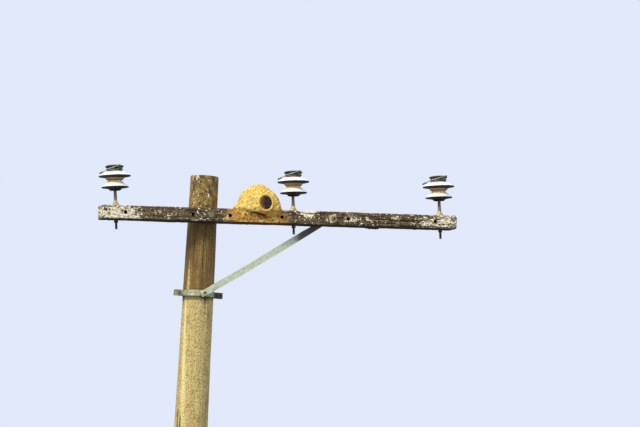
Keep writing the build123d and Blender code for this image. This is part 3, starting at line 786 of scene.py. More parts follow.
def pole_surface(settings):
    """Leaning log as level rings. A ring at height z has its middle at z times the lean's tangent
    and the taper's radius, plus broad noise, fine ridges along the grain and narrow checks; it is
    cut flat where the crossarm and the rear washer sit. Near the top the rings tilt square."""
    cut_low = arm_low[2] - 1 * MM
    cut_high = arm_high[2] + 1 * MM
    top = (POLE_HEIGHT + 6) * MM
    angle = full_turn(300)[None, :] + pi / 2
    height = pole_heights(cut_low, cut_high, top)[:, None] + 0 * angle
    radius = pole_radius(height / cos(lean))
    around = np.stack([radius * np.cos(angle), radius * np.sin(angle), height], -1)
    wave = rough(around, (0.1, 0.1, 0.9), 3, 4)
    ridge = rough(around, (0.009, 0.009, 0.4), 5, 2)
    swell = 2 * settings.pole_wave * wave + 2 * settings.pole_ridge * ridge
    crack = np.zeros_like(height)
    fade = 0.12
    for turn, start, end, depth, half_width in pole_checks(settings.pole_checks):
        wander = 0.03 * np.sin(7.0 * height + turn * 5) + 0.012 * np.sin(23.0 * height + turn)
        away = wrapped(angle - turn - wander) * radius
        reach = smooth_step(height, start, start + fade) * smooth_step(-height, -end, fade - end)
        groove = bell(away, 0, half_width * MM) * reach
        swell = swell - depth * MM * groove
        crack = np.maximum(crack, groove)
    edge = smooth_step(height, top - 7 * MM, top)
    chipped = fractal(around, (0.02, 0.02, 0.03), 9, 3)
    swell = swell - (1 + 4 * chipped) * MM * edge * edge
    radius = radius + swell
    middle = height * LEAN_TANGENT
    points = np.stack([middle + radius * np.cos(angle), radius * np.sin(angle), height], -1)
    in_cut = (height > cut_low - 0.1 * MM) & (height < cut_high + 0.1 * MM)
    points[..., 1] = np.where(in_cut, np.maximum(points[..., 1], arm_high[1]), points[..., 1])
    seat = pole_radius(arm_middle[2] / cos(lean)) - REAR_SEAT_DEPTH * MM
    bolt_x = arm_middle[2] * LEAN_TANGENT
    aside = np.maximum(abs(points[..., 0] - bolt_x), abs(height - arm_middle[2]))
    on_seat = aside < REAR_SEAT_HALF * MM
    points[..., 1] = np.where(on_seat, np.minimum(points[..., 1], seat), points[..., 1])
    tilt = smooth_step(height, top - 0.15, top)
    points[..., 2] -= tilt * LEAN_TANGENT * (points[..., 0] - middle)
    return points, crack


def shrinking_rings(ring, scales):
    """Rings that shrink from a closed ring towards its middle by given shares."""
    middle = ring.mean(0)
    return middle + (ring - middle) * np.asarray(scales)[:, None, None]


def pole_weather(points):
    """Weathering of each point of the pole, from 0 to 1: stains above and under the clamp, darker on
    the right below the clamp, partly as painted shade; wet runs below the crossarm; painted shade
    under the crossarm and along the clamp's strap; lichen on the stub, a smooth bleached band and
    the top's end grain."""
    height = points[..., 2]
    over_clamp = height - clamp_height
    over_arm = height - arm_low[2]
    angle = np.arctan2(points[..., 1], points[..., 0] - height * LEAN_TANGENT)
    turn = wrapped(angle - VIEWER_SIDE)
    ring = np.stack([np.cos(angle), np.sin(angle), height], -1)
    streaks = fractal(ring, (1 / 7, 1 / 7, 1 / 1.6), 61, 3)
    patches = rough(ring, (1 / 2, 1 / 2, 1 / 3), 67)
    span = over_clamp / (arm_low[2] - clamp_height)
    above = smooth_step(over_clamp, -0.02, 0.02)
    left_side = bell(turn, -0.74, 0.16) * (0.6 + 0.4 * np.sin(9 * height))
    # The right side, away from the key light, is darker below the clamp: partly brown stain, partly
    # painted shade
    right_side = smooth_step(turn, 0.3, 1.3)
    stain_and_shade = above * (0.62 + 0.2 * np.clip(span, 0, 1) + 0.45 * (streaks - 0.5) - 0.42 * left_side)
    below = 1 - above
    run = smooth_step(over_clamp, -0.45, 0) * smooth_step(streaks, 0.5, 0.7)
    drip = bell(turn, 0.5, 0.15) * smooth_step(over_clamp, -0.17, -0.04)
    edge = bell(turn, -1.15, 0.06) * smooth_step(over_clamp, -0.1, -0.05)
    foot = smooth_step(-height, -0.9, 0.0) * (patches + 0.5)
    stain_and_shade = stain_and_shade + below * (0.24 * right_side + 0.26 * run + 0.5 * drip + 0.45 * foot)
    front = smooth_step(np.cos(turn), -0.2, 0.3)
    # Painted shade on the front just under the crossarm
    under = smooth_step(over_arm, -0.22, -0.01) * (height < arm_high[2] + 0.01)
    drips = smooth_step(over_arm, -0.4, 0) * smooth_step(streaks, 0.48, 0.62)
    soak_and_shade = front * np.clip(0.2 * under + 0.15 * drips * (over_arm < 0), 0, 1)
    # Painted shadow in a thin band along the clamp's strap
    clamp_contact_shade = smooth_step(-abs(over_clamp + 0.006), -0.043, -0.028)
    soak_and_shade = np.maximum(soak_and_shade, 0.85 * clamp_contact_shade + 0.7 * below * edge + 0.35 * below * drip)
    stub = smooth_step(height - arm_high[2], -0.02, 0.02)
    lichen = stub * (0.8 - 0.04 * np.clip(turn, -1.2, 1.2) + 0.4 * patches) + 0.2 * above
    stain_and_shade = stain_and_shade + stub * 0.25
    # The bleached band falls to the left and widens from its upper end, below the clamp
    down = 8.5 - height
    band = (over_clamp < 0) & (height > 6)
    smooth = bell(turn + 0.86 - 0.38 * down, 0, 0.1 + 0.12 * down) * band
    smooth = smooth * (0.3 + 0.7 * smooth_step(height, 7.5, 8.2))
    return {"stain_and_shade": stain_and_shade, "soak_and_shade": soak_and_shade, "lichen": lichen, "smooth": smooth}


class UTILITYPOLE_OT_pole(bpy.types.Operator):
    """Build the round leaning pole with its checks, stains and lichen"""

    bl_idname = "utility_pole.pole"
    bl_label = "Round Pole"

    def execute(self, context):
        side, crack = pole_surface(context.scene.utility_pole_timber)
        scales = [0.975, 0.94, 0.88, 0.8, 0.7, 0.6, 0.5, 0.4, 0.3, 0.2, 0.1]
        end_rings = shrinking_rings(side[-1], scales)
        end_rings[..., 2] += 5 * MM * rough(end_rings, 0.012, 41) - 1.5 * MM
        # Drying cracks that open in the end grain from its middle outwards, each wider
        angle = full_turn(side.shape[1])
        cracks = enumerate((0.4, 1.7, 2.5, 3.6, 4.9, 5.6))
        star = [bell(wrapped(angle - turn), 0, 0.025 + 0.006 * number) for number, turn in cracks]
        star = np.max(star, axis=0) * smooth_step(np.array(scales)[:, None], 0.1, 0.3)
        end_rings[..., 2] -= 9 * MM * star
        points = np.concatenate([side, end_rings])
        values = pole_weather(points)
        values["crack"] = np.concatenate([crack, star])
        values["end"] = np.concatenate([np.zeros_like(crack), np.ones_like(star)])
        wood = [pole_timber(context.scene.utility_pole_colours)]
        add_solid("timber_pole", points, wood, "pole_wood", ["pole"], values=values, crease=50)
        return {"FINISHED"}


def stations_through(low, high, centres, step):
    """Stations from low to high: one at each centre, and even ones between, about a step apart."""
    marks = [low, *sorted(centres), high]
    spans = []
    for start, end in zip(marks, marks[1:]):
        count = max(1, round((end - start) / step))
        spans.append(np.linspace(start, end, count, endpoint=False))
    return np.concatenate([*spans, [high]])


def round_holes(points, crack, stations, middle_column, direction):
    """Turns square blocks of a face's grid into round holes: the block's rings become circles,
    of the hole's radius on the face and again just inside it, and the innermost goes to the
    timber's middle, where the hole from the other side meets it."""
    # Rings of the block: its rim, the hole's mouth and the ring just inside the mouth
    block, mouth, throat = 6, 3, 2
    near = np.arange(-block, block + 1)
    rows, steps = np.meshgrid(near, near, indexing="ij")
    ring = np.maximum(abs(rows), abs(steps))
    angle = np.arctan2(-steps, rows)
    spread = np.clip((ring - mouth) / (block - mouth), 0, 1)[..., None]
    radius = SPARE_HOLE_RADIUS + np.where(ring == mouth, 2.0, 3.2 * np.maximum(ring - mouth, 0))
    column = middle_column + steps * direction
    removed = []
    for centre in SPARE_HOLES:
        x = arm_middle[0] + centre * MM
        row = int(np.argmin(abs(stations - x)))
        square = points[row + rows, column]
        x = x + radius * MM * np.cos(angle)
        z = arm_middle[2] + radius * MM * np.sin(angle)
        shaped = np.stack([x, square[..., 1], z], -1) * (1 - spread) + square * spread
        inward = np.sign(arm_middle[1] - square[..., 1])
        shaped[..., 1] += np.where(ring == throat, inward * 4 * MM, 0)
        shaped[..., 1] = np.where(ring < throat, arm_middle[1], shaped[..., 1])
        points[row + rows, column] = shaped
        # The hole's mouth and inside take the crack mark, which paints them dark as shade
        crack[row + rows, column] = np.where(ring <= mouth, 1.0, crack[row + rows, column])
        removed.append((row, middle_column))
    return removed


def worn_timber(stations, levels, depths, settings):
    """Rectangle carried along X, with columns down its front, below, up its back and above. A
    point lies on the timber's box, with the box's corners drawn in on an arc of the worn radius
    and its ends drawn in on a larger one, the right one more worn."""
    up = np.linspace(1, -1, levels, endpoint=False)
    back = np.linspace(-1, 1, depths, endpoint=False)
    y_share = np.concatenate([-np.ones(levels), back, np.ones(levels), -back])
    z_share = np.concatenate([up, -np.ones(depths), -up, np.ones(depths)])
    x = stations[:, None] + 0 * y_share
    place = np.stack([x, 0 * x, y_share + 0 * x], -1)
    worn = settings.arm_edge * (0.4 + 1.3 * fractal(place, (0.11, 1, 0.5), 71, 3))
    y_away = arm_half[1] * (1 - abs(y_share)) + 0 * x
    z_away = arm_half[2] * (1 - abs(z_share)) + 0 * x
    from_corner = np.minimum(np.maximum(y_away, z_away), worn)
    turn = (1 - from_corner / worn) * pi / 4
    short_way = worn * (1 - np.cos(turn))
    long_way = worn * (1 - np.sin(turn))
    y_in = np.where(y_away < z_away, short_way, np.where(y_away < worn, long_way, y_away))
    z_in = np.where(y_away < z_away, np.where(z_away < worn, long_way, z_away), short_way)
    y = np.sign(y_share + 1e-9) * (arm_half[1] - y_in)
    z = np.sign(z_share + 1e-9) * (arm_half[2] - z_in)
    on_right = x > arm_middle[0]
    end_radius = np.where(on_right, settings.arm_worn_end, 6 * MM)
    end_gap = np.minimum(x - arm_low[0], arm_high[0] - x)
    arc = np.clip((end_radius - end_gap) / end_radius, 0, 1)
    draw_in = end_radius * (1 - np.sqrt(1 - arc**2)) * 0.75
    y = y * (1 - draw_in / arm_half[1] * 0.5)
    z = z * (1 - draw_in / arm_half[2] * np.where(on_right, 1.0, 0.8))
    return np.stack([x, arm_middle[1] + y, arm_middle[2] + z], -1), y_share, z_share


def crossarm_surface(settings):
    """Worn timber with round holes, moved along its surface by ridges that run with the grain,
    broad noise and a few long checks, all of which fade out near the holes."""
    centres = [arm_middle[0] + centre * MM for centre in SPARE_HOLES]
    stations = stations_through(arm_low[0], arm_high[0], centres, 4 * MM)
    levels, depths = 22, 28
    points, y_share, z_share = worn_timber(stations, levels, depths, settings)
    along = stations[:, None] - arm_middle[0] + 0 * y_share
    crack = np.zeros(along.shape)
    removed = round_holes(points, crack, stations, levels // 2, 1)
    removed += round_holes(points, crack, stations, levels + depths + levels // 2, -1)
    clear = np.ones(along.shape)
    for centre in centres:
        distance = np.hypot(points[..., 0] - centre, points[..., 2] - arm_middle[2])
        kept = np.minimum(clear, smooth_step(distance, 9.6 * MM, 22 * MM))
        clear = np.where(abs(y_share) > 0.99, kept, clear)
    ridge = rough(points, (0.16, 0.007, 0.007), 81)
    broad = rough(points, (0.09, 0.035, 0.035), 91)
    flaky = rough(points, (0.022, 0.013, 0.013), 97, 2)
    swell = 1.6 * settings.arm_ridge * ridge + 4.0 * MM * broad + 2.4 * MM * flaky
    random = np.random.default_rng(5)
    for number in range(18):
        start, length = random.uniform(-1.15, 1.0), random.uniform(0.15, 0.55)
        level, face_sign = random.uniform(-0.8, 0.8), 1 if number > 9 else -1
        wander = level * arm_half[2] + 2.5 * MM * np.sin(along * 21 + level * 9)
        reach = smooth_step(along, start, start + 0.05)
        reach = reach * smooth_step(-along, -start - length, 0.05 - start - length)
        groove = bell(points[..., 2] - arm_middle[2], wander, 2.6 * MM) * reach
        groove = groove * (y_share * face_sign > 0.99)
        swell = swell - 4.5 * MM * groove * clear
        crack = np.maximum(crack, groove * clear * 0.9)
    underside = z_share < -0.99
    knob = bell(along, 0.648, 0.042, 4) + 0.5 * bell(along, 0.94, 0.006)
    swell = swell + 7 * MM * knob * underside * (0.7 + 2 * flaky)
    return swollen(points, swell * clear), crack, removed


# Growth on the crossarm: place along it and above its middle, reach along and up, density
LICHEN_PATCHES = (
    (-1.12, 0.0, 0.12, 0.09, 0.75), (-0.985, 0.0, 0.06, 0.06, 0.42),
    (-0.92, 0.0, 0.05, 0.05, -0.15), (-0.9, 0.0, 0.25, 0.1, -0.13),
    (-0.82, 0.01, 0.04, 0.015, 0.3), (-0.74, -0.01, 0.05, 0.014, 0.3),
    (-0.63, 0.02, 0.04, 0.03, -0.3), (-0.5, 0.0, 0.05, 0.02, 0.15),
    (-0.4, -0.02, 0.03, 0.02, 0.3), (-0.37, -0.018, 0.014, 0.014, 0.9),
    (0.08, 0.043, 0.03, 0.014, 0.3), (0.178, 0.042, 0.045, 0.03, 2.4),
    (0.345, 0.0, 0.035, 0.05, -0.6), (0.305, -0.012, 0.016, 0.008, 0.8),
    (0.48, 0.0, 0.05, 0.025, 0.45), (0.59, 0.0, 0.02, 0.012, 0.9),
    (0.78, 0.02, 0.03, 0.015, 0.5), (0.99, 0.0, 0.06, 0.03, 0.5),
    (1.13, 0.0, 0.08, 0.08, 0.6),
)


def crossarm_weather(points):
    """Weathering of each point of the crossarm: patches of lichen, mud by the nest, shade below."""
    along = points[..., 0] - arm_middle[0]
    level = points[..., 2] - arm_middle[2]
    lichen = 0.2 + 0.9 * rough(points, (0.2, 0.08, 0.05), 111)
    for place, rise, reach, spread, density in LICHEN_PATCHES:
        lichen = lichen + density * bell(along, place, reach) * bell(level, rise, spread)
    under = smooth_step(-points[..., 2], -arm_low[2] - 2 * MM, -arm_low[2] + 1 * MM)
    near_nest = smooth_step(-abs(along + 0.17), -0.28, -0.15)
    # Painted shade along the lower front edge, which faces down
    edge = 0.3 * smooth_step(-level, 0.022, 0.036) + 0.65 * smooth_step(-level, 0.035, 0.042)
    shade = np.maximum(0.95 * under, edge)
    return {"lichen": np.clip(lichen * (1 - 0.9 * under), 0, 1), "mud": near_nest, "shade": shade}


class UTILITYPOLE_OT_crossarm(bpy.types.Operator):
    """Build the sawn crossarm with its drilled holes, worn end, checks and lichen"""

    bl_idname = "utility_pole.crossarm"
    bl_label = "Crossarm"

    def execute(self, context):
        side, crack, removed = crossarm_surface(context.scene.utility_pole_timber)
        scales = [0.94, 0.84, 0.72, 0.6, 0.48, 0.36, 0.24, 0.12]
        bulge = np.array([1.0, 1.6, 1.8, 1.6, 1.2, 0.6, 0.2, 0.0]) * MM
        ends = []
        for ring, hand in ((side[0], -1), (side[-1], 1)):
            rings = shrinking_rings(ring, scales)
            grain = rough(rings, (0.02, 0.006, 0.006), 101)
            rings[..., 0] += hand * bulge[:, None] + 4 * MM * grain
            ends.append(rings)
        points = np.concatenate([ends[0][::-1], side, ends[1]])
        values = crossarm_weather(points)
        bare = np.zeros((len(scales), side.shape[1]))
        values["crack"] = np.concatenate([bare, crack, bare])
        removed = [(len(scales) + row, column) for row, column in removed]
        wood = [crossarm_timber(context.scene.utility_pole_colours)]
        piece = add_solid(
            "timber_crossarm",
            points,
            wood,
            "crossarm_wood",
            ["crossarm"],
            values=values,
            removed=removed,
            crease=40,
        )
        mesh = bmesh.new()
        mesh.from_mesh(piece.data)
        bmesh.ops.remove_doubles(mesh, verts=mesh.verts, dist=0.01 * MM)
        loose = [point for point in mesh.verts if not point.link_faces]
        bmesh.ops.delete(mesh, geom=loose, context="VERTS")
        mesh.to_mesh(piece.data)
        mesh.free()
        return {"FINISHED"}


# Nest above the crossarm's top: height, middle along the arm, half width, half depth
NEST_STATIONS = (
    (-56, -110, 24, 18), (-53, -110, 60, 54), (-43, -112, 88, 82), (-16, -137, 137, 98),
    (9, -155, 156, 104), (46, -146, 137, 105), (92, -145, 116, 94), (122, -147, 88, 73),
    (141, -143, 58, 50), (155, -138, 32, 28), (162, -137, 12, 11),
)

# Way into the nest, by the share of the way to the entrance's middle: depth, left and right
# side, half height
NEST_PASSAGE = (
    (0.0, 0, -41.5, 41.5, 45.5), (0.05, 4, -40.0, 42.0, 45.0), (0.1, 9, -36.0, 44.0, 44.5),
    (0.18, 18, -28.0, 47.0, 44.0), (0.28, 30, -17.0, 58.0, 43.5), (0.4, 44, -4.0, 70.0, 43.0),
    (0.5, 62, 6.0, 80.0, 43.0), (0.6, 84, 12.0, 86.0, 42.0), (0.7, 104, 16.0, 88.0, 42.0),
    (0.8, 120, -30.0, 86.0, 41.0), (0.9, 140, -60.0, 74.0, 38.0), (0.96, 158, -40.0, 50.0, 28.0),
    (1.0, 164, 8.0, 8.0, 0.0),
)


def from_mouth(local):
    """Millimetres to the right of the entrance's middle and above it, and both as one share of
    the way to its edge."""
    right = local[..., 0] / MM - MOUTH_PLACE
    up = local[..., 2] / MM - MOUTH_HEIGHT
    return right, up, np.hypot(right / MOUTH_HALF_WIDTH, up / MOUTH_HALF_HEIGHT)


def crevice(along, level, half_length, half_width):
    """Crevice under the nest's entrance, from 0 to 1: a bell across its line, which falls to the
    right, times a flatter bell along it."""
    middle, fall = -0.165, 0.2
    slope = level + fall * (along - middle)
    return bell(along, middle, half_length, 4) * bell(slope, 0, half_width)


def nest_dome():
    """Level ellipses whose middle, width and depth flow through the built stations, each fuller
    than an ellipse at its right front, where both shares are raised to a power."""
    curve = flowing(NEST_STATIONS, 40) * MM
    steps = np.linalg.norm(np.diff(curve[:, [0, 2]], axis=0), axis=1)
    length = np.concatenate([[0], np.cumsum(steps)])
    even = np.linspace(0, length[-1], 185)
    height, middle, wide, deep = (np.interp(even, length, curve[:, i])[:, None] for i in range(4))
    angle = full_turn(300)[None, :]
    power = 1 - 0.4 * smooth_step(np.cos(angle), 0.0, 0.2) * smooth_step(-np.sin(angle), 0.0, 0.2)
    across = np.sign(np.cos(angle)) * abs(np.cos(angle)) ** power
    back = np.sign(np.sin(angle)) * abs(np.sin(angle)) ** power
    return np.stack([middle + wide * across, deep * back, height + 0 * angle], -1)


def nest_passage(local):
    """Turns the surface in inside the entrance's oval: the share of the way to the oval's middle
    becomes a way along the passage, whose left side is the inner wall behind the opening. Gives
    the points, where the passage is, its share of shade and the chamber's behind the wall."""
    right, up, reach = from_mouth(local)
    mouth = (reach < 1) & (local[..., 1] < 0)
    share = np.clip(1 - reach, 0, 1)
    stations = np.array(NEST_PASSAGE).T
    depth, start, end, rise = (np.interp(share, stations[0], stations[i]) for i in range(1, 5))
    reach = np.maximum(reach, 1e-6)
    across = right / MOUTH_HALF_WIDTH / reach
    up = up / MOUTH_HALF_HEIGHT / reach
    rumple = 2.5 * rough(local, 0.02, 163, 2) * smooth_step(share, 0.02, 0.2)
    x = MOUTH_PLACE + (start + end) / 2 + across * (end - start + rumple) / 2
    z = MOUTH_HEIGHT + up * (rise + rumple)
    passage = np.stack([x * MM, local[..., 1] + depth * MM, z * MM], -1)
    points = np.where(mouth[..., None], passage, local)
    turned_in = smooth_step(share, 0.0, 0.08 + 0.16 * smooth_step(-across, 0.0, 0.6))
    inside = np.where(mouth, turned_in, 0)
    on_wall = smooth_step(-across, -0.1, 0.2) * smooth_step(-share, -0.6, -0.5)
    return points, mouth, inside, inside * (1 - on_wall)


def nest_surface(settings):
    """Dome moved along its surface by lumps, pellets, pits, courses round the entrance, the lip,
    the crevice below it and a crown on top, and turned in at the entrance."""
    local = nest_dome()
    lumps = rough(local, 0.075, 131)
    local = swollen(local, 2 * settings.lump_height * lumps)
    x, y, z = np.moveaxis(local, -1, 0)
    pellet = cell_distance(local / np.array([1.2, 1.2, 0.85]) / settings.pellet_size, 137)
    pits_and_shade = 0.7 * smooth_step(-cell_distance(local / 0.03, 151), -0.22, -0.1)
    right, up, reach = from_mouth(local)
    facing = smooth_step(-y, 0.0, 0.03)
    thicker_below = 0.62 - 0.38 * np.sin(np.arctan2(up, right) + 0.5)
    lip = bell(reach, 1.16, 0.17) * facing * thicker_below
    course = np.sin(reach * 17 + 5 * lumps) * smooth_step(-reach, -2.3, -1.3) * facing
    swell = settings.pellet_height * (0.55 - pellet) - settings.pit_depth * pits_and_shade * (reach > 1.3)
    swell = swell + 6 * MM * rough(local, 0.013, 157)
    swell = swell + 1.6 * MM * course + settings.lip_height * lip
    gap = crevice(x, z + 0.038 + 0.01 * lumps, 0.05, 0.0105) * (y < 0)
    crown = bell(np.hypot(x + 0.172, y + 0.02), 0, 0.036) * (z > 0.1)
    local = swollen(local, swell - 13 * MM * gap + 6 * MM * crown)
    points, mouth, inside, deep = nest_passage(local)
    x, y, z = np.moveaxis(local, -1, 0)
    right_flank = smooth_step(x, -0.07, -0.02) * smooth_step(-z, -0.1, -0.02)
    low = 0.7 * smooth_step(-z, -0.03, 0.03) + 0.1 * right_flank
    # The crevice under the overhanging lip is painted dark as its shadow
    pits_and_shade = np.maximum(pits_and_shade, 1.5 * gap) * ~mouth
    values = {"pits_and_shade": pits_and_shade, "inside": inside, "deep": deep, "low": low * (1 - inside)}
    return points + arm_top, values


def mud_smear():
    """Sheet of mud that has run down the crossarm's front: a level grid whose depth is a body of
    mud that thins downwards plus noise, and that sinks into the timber where there is none."""
    x = np.linspace(arm_middle[0] - 0.4, arm_middle[0] + 0.14, 200)[None, :]
    z = np.linspace(arm_low[2] + 7 * MM, arm_high[2] - 2 * MM, 38)[:, None]
    along = x - arm_middle[0] + 0 * z
    drop = (arm_high[2] - z) / (arm_high[2] - arm_low[2]) + 0 * x
    place = np.stack([along, 0 * along, z + 0 * x], -1)
    body = smooth_step(along, -0.4, -0.27) * smooth_step(-along, -0.06, 0.05)
    ragged = rough(place, (0.045, 0.03, 0.03), 171, 4)
    fine = rough(place, 0.008, 173, 2)
    thick = (body * (11 - 5 * drop) + 17 * ragged + 4 * fine) * body - 3.5
    gap = crevice(along, z - arm_middle[2] - 0.001 - 0.03 * ragged, 0.055, 0.011)
    thick = thick - 9 * (1 - body) - 9 * gap
    open_hole = np.zeros_like(thick)
    for hole in SPARE_HOLES:
        away = np.hypot(along - hole * MM, z - arm_middle[2])
        open_hole = np.maximum(open_hole, smooth_step(-away, -0.0145, -0.0105))
    depth = np.clip(thick, -9, 13) * (1 - open_hole) - 50 * open_hole
    front = np.stack([x + 0 * z, arm_low[1] - depth * MM, z + 0 * x], -1)
    rear = front.copy()
    rear[..., 1] = arm_low[1] + (15 + 38 * open_hole) * MM
    low = 0.52 + 1.7 * ragged + 1.3 * fine + 0.25 * smooth_step(-along, 0.2, 0.33)
    low = low - 0.25 * smooth_step(along, -0.13, -0.03)
    # Painted shadow in the crevice under the nest's lip, with dark specks
    pits_and_shade = 1.3 * gap + 0.8 * smooth_step(fine, 0.12, 0.22)
    return front, rear, {"low": low, "pits_and_shade": pits_and_shade, "inside": 0 * low, "deep": 0 * low}


class UTILITYPOLE_OT_nest(bpy.types.Operator):
    """Build the domed mud nest, and the mud that has run down the crossarm's front"""

    bl_idname = "utility_pole.nest"
    bl_label = "Mud Nest"

    def execute(self, context):
        mud = [dried_mud(context.scene.utility_pole_colours)]
        points, values = nest_surface(context.scene.utility_pole_nest)
        add_solid("mud_nest", points, mud, "nest_mud", ["nest"], values=values)
        front, rear, values = mud_smear()
        values = {key: np.tile(value.ravel(), 2) for key, value in values.items()}
        add_piece("mud_smear", *slab(front, rear), mud, "nest_mud", values=values)
        return {"FINISHED"}


# Insulator shells: radius, height over the crossarm and glaze of each corner
# Glaze 3 is painted shade under the sheds; glaze 5 is dark glaze on the head and painted shade on
# the neck
LOWER_OUTLINE = (
    (0, 200, 3), (17, 200, 3), (17, 116, 3), (20, 112, 3), (29, 97.5, 3), (32, 96.5, 3),
    (35, 98, 3), (40, 104.5, 3), (46, 107.5, 3), (56, 109.8, 3), (70, 112, 3), (82, 113.6, 3),
    (86.5, 114.6, 3), (88.2, 116.9, 3), (87.2, 119.8, 3), (84.5, 122.3, 0), (76, 130.5, 0),
    (64, 140, 0), (55, 147, 1), (48, 152.5, 1), (43.5, 158, 1), (42, 162, 1), (38, 168, 1),
    (37.7, 229, 1), (32, 235.7, 1), (0, 235.7, 1),
)
UPPER_OUTLINE = (
    (0, 236, 3), (32, 236, 3), (38, 229, 3), (38, 169, 3), (41, 165.6, 3), (45, 162.8, 2),
    (49.5, 162.2, 2), (53.5, 165.4, 2), (56, 169.4, 4), (58.5, 173, 4), (62, 176.3, 4),
    (66, 178.4, 3), (76, 180.4, 3), (88, 182.4, 3), (98, 184.1, 3), (101.8, 185.4, 3),
    (103.2, 187.9, 3), (102.2, 191, 3), (99, 194.4, 0), (96, 197.2, 0), (85, 204.6, 0),
    (67, 213.2, 0), (55, 217.6, 0), (50.5, 218.8, 0), (48.6, 221.5, 5), (48.6, 237, 5),
    (51, 241, 5), (58, 246.5, 5), (60.5, 250.5, 5), (55, 256, 5), (35, 260.5, 5), (0, 262, 5),
)


def on_pin(points, side, shift=0.0):
    """Points in millimetres about the leaning axis of an insulator, which stands on the crossarm's
    top, put in their place in metres."""
    points = (points + np.array([shift, 0.0, 0.0])) * MM
    tilt = radians(PIN_LEANS[side])
    x = points[..., 0] * cos(tilt) - points[..., 2] * sin(tilt)
    z = points[..., 0] * sin(tilt) + points[..., 2] * cos(tilt)
    base = arm_top + np.array([PIN_POSITIONS[side] * MM, 0.0, 0.0])
    return np.stack([x, points[..., 1], z], -1) + base


class UTILITYPOLE_OT_insulators(bpy.types.Operator):
    """Build the two porcelain shells of each pin insulator"""

    bl_idname = "utility_pole.insulators"
    bl_label = "Porcelain Insulators"

    def execute(self, context):
        colours = context.scene.utility_pole_colours
        white = tuple(colours.glaze_white)
        dark = tuple(colours.glaze_dark_and_shade)
        glazes = [
            glazed_porcelain("white_glazed_porcelain", white, "#e2e9ef", "#b9b6a4", 0.2, 0.3),
            glazed_porcelain("pollen_dusted_porcelain", "#fae3a0", "#fbf0c8", "#c0a260", 0.4, 0.3),
            glazed_porcelain("red_brown_porcelain", "#6b3a25", "#7d5238", "#a08a5c", 0.35, 0.3),
            # Painted shade under the sheds
            glazed_porcelain("shaded_olive_porcelain", dark, "#1f1d15", "#2c291d", 0.6, 0.5, 0.2),
            glazed_porcelain("light_brown_porcelain", "#a68c66", "#958a68", "#6c6044", 0.5, 0.4),
            # Dark glaze on the heads, painted shade on the necks
            glazed_porcelain("dark_olive_and_shaded_porcelain", dark, "#26251c", "#5a5744", 0.4, 0.4, 0.3),
        ]
        for side in PIN_POSITIONS:
            for shell, outline in (("lower", LOWER_OUTLINE), ("upper", UPPER_OUTLINE)):
                outline = np.array(outline, float)
                glaze = outline[:, 2].astype(int)
                outline[:, 2] = np.arange(len(outline))
                curve = rounded(outline)
                rows = glaze[np.round(curve[:, 2]).astype(int)]
                curve[:, 0] = np.maximum(curve[:, 0], 0.05)
                grid = on_pin(revolve(curve, 112), side, SHELL_SHIFT[side])
                name = f"porcelain_{shell}_{side}"
                nodes = [f"insulator_{shell}_{side}"]
                add_solid(name, grid, glazes, "porcelain", nodes, rows, crease=60)
        return {"FINISHED"}


def wire_path(controls, steps):
    """Smooth path near control points: each point of a Catmull-Rom curve is the mean of seven."""
    path = np.pad(flowing(controls, steps), ((3, 3), (0, 0)), mode="edge")
    kernel = np.ones(7) / 7
    return np.stack([np.convolve(axis, kernel, mode="valid") for axis in path.T], -1)


def wound(start, end, radius, pitch, phase):
    """Helix about the straight line from start to end, with a radius and a pitch."""
    length = np.linalg.norm(end - start)
    along = unit(end - start)
    side = unit(np.cross(along, (0.0, 0.0, 1.0)))
    up = np.cross(side, along)
    share = np.linspace(0, 1, max(8, int(length / pitch * 9)))[:, None]
    turn = 2 * pi * length / pitch * share + phase
    return start + (end - start) * share + radius * (np.cos(turn) * side + np.sin(turn) * up)


def coiled(radius, start, turned, middle, climb, count):
    """Path round an insulator's neck from a starting angle, that climbs as it turns."""
    turn = np.linspace(0, turned, count)
    angle = start + turn
    return np.stack([radius * np.cos(angle), radius * np.sin(angle), middle + climb * turn], -1)


